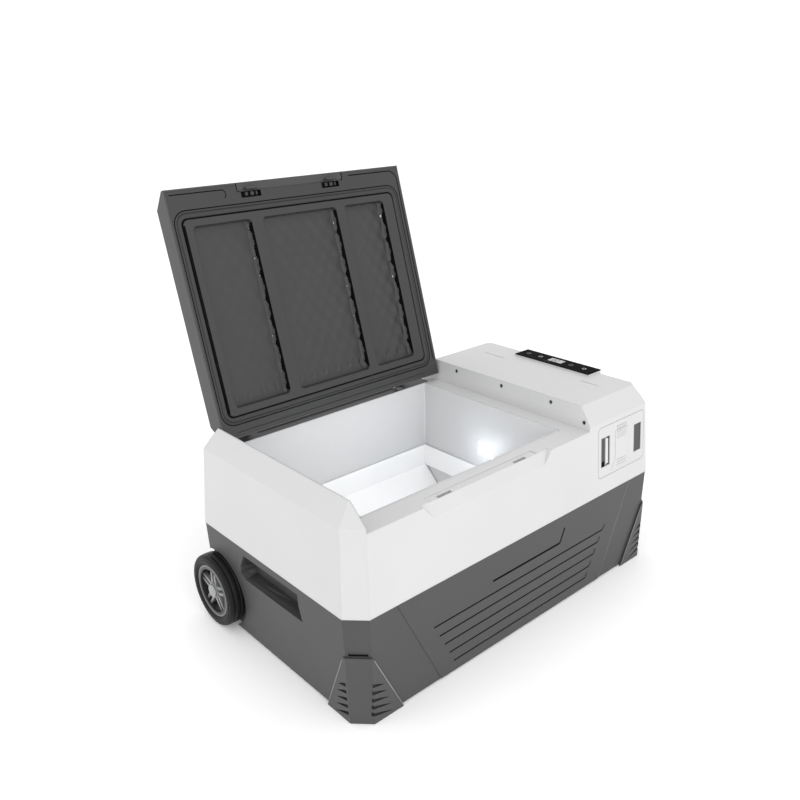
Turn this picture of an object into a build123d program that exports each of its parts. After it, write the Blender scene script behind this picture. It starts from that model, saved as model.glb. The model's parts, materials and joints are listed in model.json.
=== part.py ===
from build123d import *
import math
import os

os.makedirs("parts", exist_ok=True)

# Portable compressor cooler fridge, millimetres.  +X runs along the long side towards the
# machine compartment, +Y to the hinge side, +Z up.  The origin is on the floor under the
# centre of the cabinet.  The lid is built closed and then swung open about its hinge.

# ---------------------------------------------------------------- driving dimensions
SEAM_Z = 160.0            # joint between dark lower shell and white upper shell
SHOULDER_Z = 280.3        # where the top bevel starts
RIM_Z = 273.6             # sealing rim that the lid closes on
WALL = 3.0                # moulded shell wall

LOWER_BOTTOM = (312.5, 186.5, 22.0, 3.0)      # half length, half width, corner leg, height
LOWER_TOP = (319.3, 188.3, 24.2, 159.4)
UPPER_BOTTOM = (320.0, 189.4, 24.4, 160.0)
UPPER_SHOULDER = (312.4, 180.7, 22.5, 280.3)
UPPER_TOP = (290.6, 158.0, 7.5, 307.0)

# cold box
BOX_X0, BOX_X1 = -267.0, 114.0
BOX_Y0, BOX_Y1 = -143.5, 148.0
BOX_FLOOR = 44.0
LINER_T = 2.5

# machine compartment
MACHINE_X_LOW = 142.5     # partition face at rim height
MACHINE_X_HIGH = 149.3    # partition face at the top
TROUGH_Z = 266.0          # rear rim, lowered so the lid can swing

# lid
LID_X0 = -287.9
LID_X_LOW = 141.0
LID_X_HIGH = 147.6
LID_HALF_Y = 180.4
LID_Z0 = 274.5
LID_Z1 = 306.7
LID_BEVEL_Z = 280.6
LID_BEVEL_Y = 158.2
LID_SKIN = 2.5
HINGE_Y = 165.0
HINGE_Z = 296.0
OPEN_DEG = 106.2
HINGE_X = (-232.0, 85.0)
PIN_R = 2.5

# latch handle
LATCH_X0, LATCH_X1 = -172.3, 20.0
LATCH_PIVOT_Y = -171.0
LATCH_PIVOT_Z = 281.0
HOOK_X = (-151.7, -5.2)

# wheels
WHEEL_R = 56.4
WHEEL_Y = 140.5
WHEEL_Z = 57.4
WHEEL_OUT = 335.5
WHEEL_IN = 309.5
ARCH_R = 62.0
ARCH_X = 305.0
AXLE_R = 5.0

# battery module on the sloping front face
FACE_X = 225.3
FACE_Z = 229.7
FACE_W, FACE_H = 120.0, 82.6
FACE_SLOPE = math.degrees(math.atan((UPPER_BOTTOM[1] - UPPER_SHOULDER[1]) / (SHOULDER_Z - SEAM_Z)))
FACE_Y = -(UPPER_BOTTOM[1] - (FACE_Z - SEAM_Z) * math.tan(math.radians(FACE_SLOPE)))

FACE = Plane(origin=(FACE_X, FACE_Y, FACE_Z), x_dir=(1, 0, 0),
             z_dir=(0, -math.cos(math.radians(FACE_SLOPE)), math.sin(math.radians(FACE_SLOPE))))

# control pod on the machine compartment
POD_X0, POD_X1 = 264.0, 298.5
POD_Y0, POD_Y1 = -86.2, 71.0
POD_Z = 309.4
PANEL_Z = 311.0
BUTTON_X = 281.3
BUTTON_Y = (54.0, 27.6, -37.9, -65.2)
BUTTON_R = 5.6

# air side
FAN_X, FAN_Y, FAN_Z = 228.0, -127.0, 78.0
FAN_R = 50.0
COMP_X, COMP_Y = 222.0, 56.0
COMP_R = 56.0

EXPORTS = []
LID_EXPORTS = []


# ---------------------------------------------------------------- helpers
def octagon(half_x, half_y, leg):
    """Corner-cut rectangle, counter-clockwise."""
    return [
        (half_x, half_y - leg), (half_x - leg, half_y),
        (-half_x + leg, half_y), (-half_x, half_y - leg),
        (-half_x, -half_y + leg), (-half_x + leg, -half_y),
        (half_x - leg, -half_y), (half_x, -half_y + leg),
    ]


def inset(section, amount, z):
    """The same corner-cut section, moved in by a wall and placed at a height."""
    half_x, half_y, leg, _ = section
    return (half_x - amount, half_y - amount, leg - 0.6 * amount, z)


def slab(sections, mode=Mode.ADD):
    """Drafted tub between corner-cut sections, each (half x, half y, leg, z)."""
    corners = []
    for half_x, half_y, leg, z in sections:
        corners += [(x, y, z) for x, y in octagon(half_x, half_y, leg)]
    ConvexPolyhedron(corners, mode=mode)


def block(x0, x1, y0, y1, z0, z1, mode=Mode.ADD):
    """Box between two corners."""
    with Locations(((x0 + x1) / 2, (y0 + y1) / 2, (z0 + z1) / 2)):
        Box(x1 - x0, y1 - y0, z1 - z0, mode=mode)


def rod_x(x0, x1, y, z, radius, mode=Mode.ADD):
    """Cylinder along X."""
    with Locations(Location(((x0 + x1) / 2, y, z), (0, 90, 0))):
        Cylinder(radius, x1 - x0, mode=mode)


def rod_y(y0, y1, x, z, radius, mode=Mode.ADD):
    """Cylinder along Y."""
    with Locations(Location((x, (y0 + y1) / 2, z), (90, 0, 0))):
        Cylinder(radius, y1 - y0, mode=mode)


def rod_z(z0, z1, x, y, radius, mode=Mode.ADD):
    """Cylinder along Z."""
    with Locations((x, y, (z0 + z1) / 2)):
        Cylinder(radius, z1 - z0, mode=mode)


def prism_x(points, x0, x1, mode=Mode.ADD):
    """(y, z) outline extruded along X."""
    with BuildSketch(Plane.YZ.offset(x0)) as outline:
        Polygon(*points, align=None)
    extrude(outline.sketch, amount=x1 - x0, mode=mode)


def prism_y(points, y0, y1, mode=Mode.ADD):
    """(x, z) outline extruded along Y."""
    with BuildSketch(Plane.XZ.offset(-y1)) as outline:
        Polygon(*points, align=None)
    extrude(outline.sketch, amount=y1 - y0, mode=mode)


def frame_block(x0, x1, y0, y1, radius, z0, z1, mode=Mode.ADD):
    """Plate with rounded corners."""
    with BuildSketch(Plane.XY.offset(z0)) as outline:
        with Locations(((x0 + x1) / 2, (y0 + y1) / 2)):
            RectangleRounded(x1 - x0, y1 - y0, radius)
    extrude(outline.sketch, amount=z1 - z0, mode=mode)


def tube(points, radius, bend):
    """Bent tube along a route."""
    with BuildLine() as route:
        FilletPolyline(*points, radius=bend)
    with BuildSketch(Plane(origin=route.line @ 0, z_dir=route.line % 0)) as outline:
        Circle(radius)
    sweep(outline.sketch, path=route.line)


def face_box(u0, u1, v0, v1, w0, w1, mode=Mode.ADD):
    """Box in the frame of the battery module's sloping face (across, up, outwards)."""
    centre = FACE.from_local_coords(Vector((u0 + u1) / 2, (v0 + v1) / 2, (w0 + w1) / 2))
    with Locations(Location(Plane(origin=centre, x_dir=FACE.x_dir, z_dir=FACE.z_dir))):
        Box(u1 - u0, v1 - v0, w1 - w0, mode=mode)


def face_plate(half_u, half_v, radius, w0, w1, mode=Mode.ADD):
    """Round-cornered plate centred on the battery module's face."""
    with BuildSketch(FACE.offset(w0)) as outline:
        RectangleRounded(2 * half_u, 2 * half_v, radius)
    extrude(outline.sketch, amount=w1 - w0, mode=mode)


def groove(points, bend, width, y_face):
    """Shallow round-ended groove along an (x, z) route on the front face."""
    with BuildSketch(Plane.XZ.offset(-y_face - 1.9)) as outline:
        with BuildLine() as route:
            FilletPolyline(*points, radius=bend)
        trace(route.line, width)
    extrude(outline.sketch, amount=3.9, mode=Mode.SUBTRACT)


def finish(item, name):
    """Label one cabinet piece and queue it for export."""
    item.part.label = name
    EXPORTS.append((item.part, name))


def finish_lid(item, name):
    """Label one lid piece and queue it for opening and export."""
    item.part.label = name
    LID_EXPORTS.append((item.part, name))


def lower_at(z):
    """Half length and half width of the lower shell at a height."""
    t = (z - LOWER_BOTTOM[3]) / (LOWER_TOP[3] - LOWER_BOTTOM[3])
    return (LOWER_BOTTOM[0] + t * (LOWER_TOP[0] - LOWER_BOTTOM[0]),
            LOWER_BOTTOM[1] + t * (LOWER_TOP[1] - LOWER_BOTTOM[1]))


# ---------------------------------------------------------------- lower shell
POCKET = [(-71.0, 149.0), (64.0, 147.5), (77.5, 124.0), (79.5, 110.0), (66.0, 103.5),
          (-78.0, 105.5), (-71.5, 130.0)]
POCKET_DEEP = [(-56.0, 143.0), (58.0, 143.0), (66.0, 124.0), (66.0, 118.0), (60.0, 113.0),
               (-62.0, 113.0), (-57.0, 130.0)]
GROOVE_W = 2.6
GROOVES = [(-187.0, 93.7), (-176.5, 75.2), (-167.0, 57.0), (-157.5, 38.4), (-149.0, 20.2)]
FOOT_X, FOOT_Y = 235.0, 132.0

with BuildPart() as arch_drums:
    for side in (-1, 1):
        x_in, x_out = sorted((side * 302.0, side * 330.0))
        rod_x(x_in, x_out, WHEEL_Y, WHEEL_Z, ARCH_R + WALL)
    slab([LOWER_BOTTOM, LOWER_TOP], Mode.INTERSECT)

# shallow raised field on the front face, wider towards the top
with BuildPart() as front_field:
    prism_y([(-172.0, 3.0), (183.0, 3.0), (249.2, 159.4), (-250.8, 159.4)], -196.0, -185.0)
    slab([(330.0, LOWER_BOTTOM[1] + 0.9, 10.0, 3.0), (330.0, LOWER_TOP[1] + 0.9, 10.0, 159.4)],
         Mode.INTERSECT)

with BuildPart() as lower_shell:
    slab([LOWER_BOTTOM, LOWER_TOP])
    slab([inset(LOWER_BOTTOM, WALL, 6.0), inset(LOWER_TOP, WALL, 159.4)], Mode.SUBTRACT)
    # tongue that locates the upper shell
    slab([inset(LOWER_TOP, 2.9, 150.0), inset(LOWER_TOP, 4.2, 166.0)])
    slab([inset(LOWER_TOP, 5.6, 149.9), inset(LOWER_TOP, 6.2, 166.1)], Mode.SUBTRACT)
    add(front_field.part)
    # handle pockets in both ends
    for side in (-1, 1):
        x_in, x_out = sorted((side * 297.0, side * 316.0))
        block(x_in, x_out, -84.0, 84.0, 98.0, 153.5)
    add(arch_drums.part)
    for side in (-1, 1):
        x_in, x_out = sorted((side * 284.0, side * 304.0))
        rod_x(x_in, x_out, WHEEL_Y, WHEEL_Z, 14.0)
        with BuildSketch(Plane.YZ.offset(side * 322.0)) as mouth:
            Polygon(*POCKET, align=None)
        with BuildSketch(Plane.YZ.offset(side * 300.0)) as back:
            Polygon(*POCKET_DEEP, align=None)
        loft([mouth.sketch, back.sketch], ruled=True, mode=Mode.SUBTRACT)
        x_in, x_out = sorted((side * ARCH_X, side * 340.0))
        rod_x(x_in, x_out, WHEEL_Y, WHEEL_Z, ARCH_R, Mode.SUBTRACT)
        x_in, x_out = sorted((side * 280.0, side * 310.0))
        rod_x(x_in, x_out, WHEEL_Y, WHEEL_Z, AXLE_R + 0.05, Mode.SUBTRACT)
    # decorative grooves, each turned up at the right-hand end
    for x_start, z in GROOVES:
        x_end = 2.0 - 0.98 * x_start
        y_face = -lower_at(z)[1] - 0.9
        groove([(x_start, z), (x_end, z), (x_end + 3.6, z + 8.4)], 4.0, GROOVE_W, y_face)
    groove([(-73.0, 114.3), (75.0, 114.3), (85.0, 137.2)], 2.6, 3.6, -lower_at(120.0)[1] - 0.9)
    # exhaust louvres in the right end
    for k in range(7):
        z = 24.0 + 8.5 * k
        block(300.0, 325.0, -52.0, 58.0, z, z + 4.0, Mode.SUBTRACT)
    # short recess above each corner guard
    for side in (-1, 1):
        with Locations(Location((side * 305.3, -176.0, 107.6), (0, 0, -45.0 * side))):
            Box(2.4, 25.0, 6.6, mode=Mode.SUBTRACT)
    # socket opening and foot holes
    block(300.0, 325.0, -118.2, -79.8, 50.8, 79.2, Mode.SUBTRACT)
    for fx in (-FOOT_X, FOOT_X):
        for fy in (-FOOT_Y, FOOT_Y):
            rod_z(0.0, 8.0, fx, fy, 4.2, Mode.SUBTRACT)
finish(lower_shell, "lower_shell")

# ---------------------------------------------------------------- upper shell
SHELL_IN = [inset(UPPER_BOTTOM, WALL, 159.0), (309.0, 177.4, 20.5, 262.8)]
BEVEL_IN = (309.2, 177.4, 20.5, 279.2)
CROWN_IN = (288.6, 155.6, 6.0, 303.6)
HOOK_SLOT = 12.6
PARTITION_SCREWS = ((102.8, 298.2, 149.3), (0.0, 298.2, 149.3), (-102.3, 298.2, 149.3),
                    (-168.5, 284.0, 146.6))
HINGE_SCREW_Z = 252.0
SCOOP_TOP = (-197.0, 53.0)
SCOOP_LOW = (-181.5, 37.0)

with BuildPart() as scoop:
    prism_y([(SCOOP_TOP[0] - 5.5, 280.0), (SCOOP_LOW[0] + 13.0, 240.0), (SCOOP_LOW[1] - 13.0, 240.0),
             (SCOOP_TOP[1] + 5.5, 280.0)], -200.0, -170.0)
    prism_x([(-194.0, 231.0), (-174.0, 272.7), (-174.0, 281.0), (-197.0, 281.0), (-197.0, 231.0)],
            -250.0, 100.0, Mode.INTERSECT)

# wall behind the scoop, kept inside the front face
with BuildPart() as scoop_backing:
    prism_x([(-190.0, 243.0), (-182.6, 243.0), (-170.4, 270.7), (-172.0, 272.8), (-182.0, 272.8)],
            SCOOP_TOP[0] - 8.0, SCOOP_TOP[1] + 8.0)
    slab([(300.0, UPPER_BOTTOM[1] - 0.4, 10.0, 160.0), (300.0, UPPER_SHOULDER[1] - 0.4, 10.0, 280.3)],
         Mode.INTERSECT)

with BuildPart() as machine_void:
    slab([(309.0, 177.4, 20.5, 262.0), BEVEL_IN, CROWN_IN])
    prism_y([(145.6, 261.0), (152.6, 304.5), (340.0, 304.5), (340.0, 261.0)], -200.0, 200.0,
            Mode.INTERSECT)

with BuildPart() as upper_shell:
    slab([UPPER_BOTTOM, UPPER_SHOULDER, UPPER_TOP])
    # control pod at the right edge of the machine top
    block(POD_X0, POD_X1, POD_Y0, POD_Y1, 292.0, POD_Z)
    # lid seat between the left ridge and the machine partition
    prism_y([(LID_X0 - 0.9, RIM_Z), (MACHINE_X_LOW, RIM_Z), (MACHINE_X_HIGH + 0.7, 311.0),
             (LID_X0 - 0.9, 311.0)], -200.0, 200.0, Mode.SUBTRACT)
    prism_y([(LID_X0 - 0.9, TROUGH_Z), (MACHINE_X_LOW, TROUGH_Z), (MACHINE_X_LOW, 280.0),
             (LID_X0 - 0.9, 280.0)], BOX_Y1 + LINER_T + 0.1, 200.0, Mode.SUBTRACT)
    # hollow below the rim and inside the machine compartment
    slab(SHELL_IN, Mode.SUBTRACT)
    block(-288.0, 142.0, -166.0, 140.0, 262.0, RIM_Z - WALL, Mode.SUBTRACT)
    add(machine_void.part, mode=Mode.SUBTRACT)
    # mouth of the cold box
    block(BOX_X0 - LINER_T - 0.1, BOX_X1 + LINER_T + 0.1, BOX_Y0 - LINER_T - 0.1, BOX_Y1 + LINER_T + 0.1,
          250.0, 300.0, Mode.SUBTRACT)
    # finger scoop under the latch handle
    add(scoop_backing.part)
    add(scoop.part, mode=Mode.SUBTRACT)
    # shallow landing for the handle, and the slots its hooks drop into
    block(LATCH_X0 - 8.0, LATCH_X1 + 8.0, -185.0, -163.0, 272.8, 280.0, Mode.SUBTRACT)
    for hx in HOOK_X:
        prism_x([(-168.0, 255.0), (-168.0, 280.0), (-173.4, 280.0), (-173.4, 271.5), (-175.7, 265.0),
                 (-175.7, 255.0)], hx - HOOK_SLOT, hx + HOOK_SLOT, Mode.SUBTRACT)
    # opening for the battery module
    face_plate(FACE_W / 2 + 0.4, FACE_H / 2 + 0.4, 7.4, -8.0, 8.0, Mode.SUBTRACT)
    face_box(-66.4, 66.4, -44.4, 44.4, -10.0, -3.1, Mode.SUBTRACT)
    # pod cavity under the control panel
    block(POD_X0 + 3.0, POD_X1 - 3.0, POD_Y0 + 3.0, POD_Y1 - 3.0, 302.0, POD_Z + 1.0, Mode.SUBTRACT)
    block(POD_X0 + 3.0, 284.0, POD_Y0 + 3.0, POD_Y1 - 3.0, 296.0, POD_Z, Mode.SUBTRACT)
    # two fine lines on the machine top
    for y0, y1 in ((64.7, 122.7), (-124.1, -74.6)):
        block(238.4, 239.8, y0 + 11.0 if y0 > 0 else y0, y1 if y0 > 0 else y1 - 15.0, 306.2, 312.0,
              Mode.SUBTRACT)
    # recessed screw holes in the machine partition
    for sy, sz, sx in PARTITION_SCREWS:
        rod_x(140.0, 160.0, sy, sz, 1.7, Mode.SUBTRACT)
        rod_x(138.0, sx, sy, sz, 3.1, Mode.SUBTRACT)
    # hinge screw holes in the back wall
    for hx in HINGE_X:
        for dx in (-6.0, 6.0):
            rod_y(170.0, 190.0, hx + dx, HINGE_SCREW_Z, 2.05, Mode.SUBTRACT)
finish(upper_shell, "upper_shell")

# ---------------------------------------------------------------- front corner guards
GUARD_LOW = (316.1, 189.7, 22.4, 0.8)
GUARD_HIGH = (319.0, 190.0, 23.8, 103.0)
LOUVRES_END = [(-160.7, 59.7, -147.2, 53.6), (-161.1, 48.6, -143.9, 41.5), (-161.5, 37.0, -140.6, 29.3),
               (-161.9, 25.8, -138.4, 16.8), (-162.3, 14.7, -136.2, 4.2)]


def corner_guard(side):
    """Bumper that wraps one front corner and carries the side louvres."""
    with BuildPart() as wedge:
        x_in, x_out = sorted((side * 296.0, side * 326.0))
        prism_x([(-196.0, 0.8), (-119.0, 0.8), (-161.5, 103.0), (-196.0, 103.0)], x_in, x_out)
        prism_y([(side * 326.0, 0.8), (side * 244.0, 0.8), (side * 293.5, 103.0), (side * 326.0, 103.0)],
                -196.0, -170.0)
    with BuildPart() as guard:
        slab([GUARD_LOW, GUARD_HIGH])
        slab([(LOWER_BOTTOM[0] - 0.6, LOWER_BOTTOM[1] - 0.3, 21.6, -0.5),
              (lower_at(3.0)[0] + 0.05, lower_at(3.0)[1] + 0.05, 22.0, 3.0),
              (lower_at(110.0)[0] + 0.05, lower_at(110.0)[1] + 0.05, 23.5, 110.0)], Mode.SUBTRACT)
        add(wedge.part, mode=Mode.INTERSECT)
        for ya, za, yb, zb in LOUVRES_END:
            x_in, x_out = sorted((side * 300.0, side * 330.0))
            prism_x([(ya - 3.0, za - 2.0), (ya - 3.0, za + 4.2), (ya, za + 3.0), (yb, zb)],
                    x_in, x_out, Mode.SUBTRACT)
            xa = side * (-ya + 131.4)
            xb = side * (-yb + 129.0 - 0.2 * (55.0 - zb) * 0.4)
            prism_y([(xa + side * 3.0, za - 1.0), (xa + side * 3.0, za + 5.2), (xa, za + 4.0), (xb, zb + 1.0)],
                    -200.0, -180.0, Mode.SUBTRACT)
    return guard


guard_left = corner_guard(-1)
finish(guard_left, "corner_guard_left")
guard_right = corner_guard(1)
finish(guard_right, "corner_guard_right")

# ---------------------------------------------------------------- cold box
with BuildPart() as inner_liner:
    frame_block(BOX_X0 - LINER_T, BOX_X1 + LINER_T, BOX_Y0 - LINER_T, BOX_Y1 + LINER_T, 5.0,
                BOX_FLOOR - LINER_T, RIM_Z)
    frame_block(BOX_X0, BOX_X1, BOX_Y0, BOX_Y1, 3.0, BOX_FLOOR, RIM_Z + 1.0, Mode.SUBTRACT)
    block(BOX_X1 - 1.0, BOX_X1 + 5.0, -13.2, 13.2, 184.8, 201.2, Mode.SUBTRACT)
finish(inner_liner, "inner_liner")

COIL_R = 4.0
COIL_OFF = 4.4
COIL_X0, COIL_X1 = BOX_X0 - LINER_T - COIL_OFF, BOX_X1 + LINER_T + COIL_OFF
COIL_Y0, COIL_Y1 = BOX_Y0 - LINER_T - COIL_OFF, BOX_Y1 + LINER_T + COIL_OFF
COIL_Z = (72.0, 96.0, 120.0, 144.0)

with BuildPart() as insulation_foam:
    block(-304.0, 148.0, -176.0, 176.0, 7.0, 248.0)
    for cx, cy in ((-304.0, -176.0), (-304.0, 176.0)):
        with Locations(Location((cx, cy, 128.0), (0, 0, 45))):
            Box(36.0, 36.0, 300.0, mode=Mode.SUBTRACT)
    block(BOX_X0 - LINER_T - 0.1, BOX_X1 + LINER_T + 0.1, BOX_Y0 - LINER_T - 0.1, BOX_Y1 + LINER_T + 0.1,
          BOX_FLOOR - LINER_T - 0.1, 300.0, Mode.SUBTRACT)
    block(COIL_X0 - 4.6, COIL_X1 + 4.6, COIL_Y0 - 4.6, COIL_Y1 + 4.6, 62.0, 154.0, Mode.SUBTRACT)
    rod_x(-312.0, -301.0, WHEEL_Y, WHEEL_Z, ARCH_R + WALL + 1.0, Mode.SUBTRACT)
    rod_x(-306.0, -278.0, WHEEL_Y, WHEEL_Z, 15.0, Mode.SUBTRACT)
    block(-310.0, -296.5, -85.0, 85.0, 97.0, 154.5, Mode.SUBTRACT)
    block(BOX_X1, 134.0, -15.0, 15.0, 182.0, 204.0, Mode.SUBTRACT)
    block(COIL_X1, 149.0, 40.0, 56.0, 100.0, 116.0, Mode.SUBTRACT)
    block(BOX_X1, 149.0, 66.0, 74.0, 168.0, 207.0, Mode.SUBTRACT)
    for fx in (-FOOT_X,):
        for fy in (-FOOT_Y, FOOT_Y):
            rod_z(6.0, 9.0, fx, fy, 8.0, Mode.SUBTRACT)
finish(insulation_foam, "insulation_foam")

with BuildPart() as evaporator_coil:
    for z in COIL_Z:
        frame_block(COIL_X0 - COIL_R, COIL_X1 + COIL_R, COIL_Y0 - COIL_R, COIL_Y1 + COIL_R, 12.0,
                    z - COIL_R, z + COIL_R)
        frame_block(COIL_X0 + COIL_R, COIL_X1 - COIL_R, COIL_Y0 + COIL_R, COIL_Y1 - COIL_R, 4.5,
                    z - COIL_R - 1.0, z + COIL_R + 1.0, Mode.SUBTRACT)
    rod_z(COIL_Z[0], COIL_Z[-1], -76.0, COIL_Y1, COIL_R)
    rod_z(COIL_Z[0], COIL_Z[-1], COIL_X1, 48.0, COIL_R)
    rod_x(COIL_X1, 150.0, 48.0, 108.0, 3.0)
finish(evaporator_coil, "evaporator_coil")

with BuildPart() as led_lamp:
    block(BOX_X1 - 0.6, BOX_X1 - 0.05, -15.5, 15.5, 182.5, 203.5)
    block(BOX_X1 - 0.1, 131.0, -12.8, 12.8, 185.2, 200.8)
finish(led_lamp, "led_lamp")

with BuildPart() as temperature_probe:
    rod_z(170.0, 205.0, BOX_X1 + LINER_T + 4.2, 70.0, 3.0)
    rod_x(BOX_X1 + LINER_T + 4.2, 150.5, 70.0, 202.0, 1.5)
finish(temperature_probe, "temperature_probe")

# ---------------------------------------------------------------- basket in the cold box
BK_X0, BK_X1 = BOX_X0 + 1.6, BOX_X1 - 1.6
BK_Y0, BK_Y1 = BOX_Y0 + 1.4, BOX_Y1 - 1.4
BK_TOP, BK_BAND, BK_FLOOR = 158.0, 119.6, BOX_FLOOR + 0.4
BK_STEP = 30.0


def basket_section(margin, z_low, z_high):
    """Cross-section: upright rim band, sloping sides, upright lower tub."""
    return [
        (BK_Y0 + margin, z_high), (BK_Y0 + margin, BK_BAND), (BK_Y0 + BK_STEP + margin, BK_BAND - BK_STEP),
        (BK_Y0 + BK_STEP + margin, z_low), (BK_Y1 - BK_STEP - margin, z_low),
        (BK_Y1 - BK_STEP - margin, BK_BAND - BK_STEP), (BK_Y1 - margin, BK_BAND), (BK_Y1 - margin, z_high),
    ]


with BuildPart() as basket:
    prism_x(basket_section(0.0, BK_FLOOR, BK_TOP), BK_X0, BK_X1)
    prism_x(basket_section(2.0, BK_FLOOR + 2.0, BK_TOP + 1.0), BK_X0 + 2.0, BK_X1 - 2.0, Mode.SUBTRACT)
    window = [(BK_Y0 + 6.0, BK_BAND), (BK_Y0 + BK_STEP + 4.0, BK_BAND - BK_STEP + 2.0),
              (BK_Y0 + BK_STEP + 4.0, 62.0), (BK_Y1 - BK_STEP - 4.0, 62.0),
              (BK_Y1 - BK_STEP - 2.6, BK_BAND - BK_STEP), (BK_Y1 - 2.6, BK_BAND)]
    prism_x(window, BK_X0 - 1.0, BK_X1 + 1.0, Mode.SUBTRACT)
finish(basket, "basket")

# ---------------------------------------------------------------- machine compartment
with BuildPart() as machine_base_plate:
    block(152.0, 300.0, -172.0, 118.0, 6.05, 8.0)
    for cy in (-FOOT_Y,):
        rod_z(5.0, 9.0, FOOT_X, cy, 8.0, Mode.SUBTRACT)
finish(machine_base_plate, "machine_base_plate")

with BuildPart() as compressor:
    rod_z(24.0, 130.0, COMP_X, COMP_Y, COMP_R)
    fillet(compressor.edges().filter_by(GeomType.CIRCLE), 17.0)
    block(COMP_X - 60.0, COMP_X + 60.0, COMP_Y - 22.0, COMP_Y + 22.0, 21.0, 25.0)
    block(COMP_X - 20.0, COMP_X + 20.0, COMP_Y - 66.0, COMP_Y - 50.0, 60.0, 100.0)
    for dx in (-51.0, 51.0):
        for dy in (-15.0, 15.0):
            rod_z(20.0, 26.0, COMP_X + dx, COMP_Y + dy, 3.1, Mode.SUBTRACT)
finish(compressor, "compressor")

with BuildPart() as compressor_mounts:
    for dx in (-51.0, 51.0):
        for dy in (-15.0, 15.0):
            rod_z(8.05, 20.95, COMP_X + dx, COMP_Y + dy, 7.0)
            rod_z(20.9, 25.5, COMP_X + dx, COMP_Y + dy, 3.0)
finish(compressor_mounts, "compressor_mounts")

with BuildPart() as condenser_coil:
    for k in range(15):
        x = 174.0 + 7.7 * k
        block(x, x + 0.9, -171.0, -147.0, 14.0, 136.0)
    for k in range(6):
        rod_x(170.0, 286.0, -159.0, 25.0 + 20.0 * k, 3.6)
    for k in range(5):
        x = 286.0 if k % 2 == 0 else 170.0
        rod_z(25.0 + 20.0 * k, 45.0 + 20.0 * k, x, -159.0, 3.6)
    block(172.0, 176.0, -166.0, -152.0, 8.05, 16.0)
    block(279.0, 283.0, -166.0, -152.0, 8.05, 16.0)
finish(condenser_coil, "condenser_coil")

with BuildPart() as fan_shroud:
    block(FAN_X - 55.0, FAN_X + 55.0, -142.0, -112.0, 22.0, 134.0)
    rod_y(-150.0, -116.0, FAN_X, FAN_Z, FAN_R + 2.0, Mode.SUBTRACT)
    rod_y(-150.0, -100.0, FAN_X, FAN_Z, FAN_R - 4.0, Mode.SUBTRACT)
    rod_y(-116.0, -112.0, FAN_X, FAN_Z, 16.0)
    block(FAN_X - 50.0, FAN_X + 50.0, -115.0, -112.0, FAN_Z - 3.0, FAN_Z + 3.0)
    block(FAN_X - 3.0, FAN_X + 3.0, -115.0, -112.0, FAN_Z - 50.0, FAN_Z + 50.0)
    rod_y(-136.0, -115.0, FAN_X, FAN_Z, 2.0)
    block(FAN_X - 40.0, FAN_X + 40.0, -138.0, -116.0, 8.05, 22.0)
finish(fan_shroud, "fan_shroud")

with BuildPart() as fan_rotor:
    rod_y(-138.0, -118.0, FAN_X, FAN_Z, 17.0)
    with Locations(Location((FAN_X, -128.0, FAN_Z), (90, 0, 0))):
        with PolarLocations(33.0, 7):
            with Locations(Location((0, 0, 0), (35, 0, 0))):
                Box(33.0, 20.0, 1.8)
    rod_y(-200.0, -138.0, FAN_X, FAN_Z, 60.0, Mode.SUBTRACT)
    rod_y(-118.0, -60.0, FAN_X, FAN_Z, 60.0, Mode.SUBTRACT)
    rod_y(-137.0, -117.0, FAN_X, FAN_Z, 2.06, Mode.SUBTRACT)
finish(fan_rotor, "fan_rotor")

DRYER_X = 285.0

with BuildPart() as filter_dryer:
    rod_z(40.0, 118.0, DRYER_X, -60.0, 8.0)
    fillet(filter_dryer.edges().filter_by(GeomType.CIRCLE), 3.5)
finish(filter_dryer, "filter_dryer")

with BuildPart() as refrigerant_lines:
    tube([(204.0, 36.0, 130.2), (204.0, 36.0, 160.0), (204.0, -159.0, 160.0), (204.0, -159.0, 136.3)],
         3.0, 9.0)
    tube([(289.8, -159.0, 45.0), (296.5, -159.0, 45.0), (296.5, -105.0, 28.0), (DRYER_X, -60.0, 28.0),
          (DRYER_X, -60.0, 39.8)], 2.4, 4.0)
    tube([(DRYER_X, -60.0, 118.2), (DRYER_X, -60.0, 148.0), (DRYER_X, 12.0, 148.0), (158.0, 12.0, 148.0),
          (158.0, 48.0, 148.0), (158.0, 48.0, 120.0)], 1.4, 6.0)
    tube([(150.4, 48.0, 108.0), (158.0, 48.0, 108.0), (158.0, 82.0, 108.0), (158.0, 82.0, 152.0),
          (206.0, 82.0, 152.0), (206.0, 82.0, 130.2)], 3.0, 5.5)
finish(refrigerant_lines, "refrigerant_lines")

with BuildPart() as power_board:
    block(149.0, 150.6, 80.0, 160.0, 180.0, 246.0)
    block(150.6, 164.0, 90.0, 118.0, 190.0, 214.0)
    block(150.6, 158.0, 124.0, 152.0, 196.0, 236.0)
    for cy, cz in ((98.0, 228.0), (112.0, 228.0)):
        rod_x(150.6, 166.0, cy, cz, 6.0)
finish(power_board, "power_board")

with BuildPart() as wiring_harness:
    tube([(295.8, -99.0, 65.0), (288.0, -99.0, 65.0), (288.0, -99.0, 174.0), (288.0, 104.0, 174.0),
          (172.0, 104.0, 174.0), (172.0, 104.0, 202.0), (164.3, 104.0, 202.0)], 2.5, 3.8)
    tube([(158.3, 138.0, 216.0), (164.0, 138.0, 216.0), (164.0, 138.0, 286.0), (164.0, 50.0, 286.0),
          (276.0, 50.0, 286.0), (276.0, 50.0, 301.9)], 2.0, 3.6)
finish(wiring_harness, "wiring_harness")

with BuildPart() as dc_inlet:
    block(297.0, 314.6, -118.0, -80.0, 51.0, 79.0)
    rod_x(304.0, 316.0, -108.0, 65.0, 6.5, Mode.SUBTRACT)
    rod_x(304.0, 316.0, -90.0, 65.0, 5.0, Mode.SUBTRACT)
    rod_x(303.0, 312.0, -108.0, 65.0, 1.4)
finish(dc_inlet, "dc_inlet")

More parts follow.
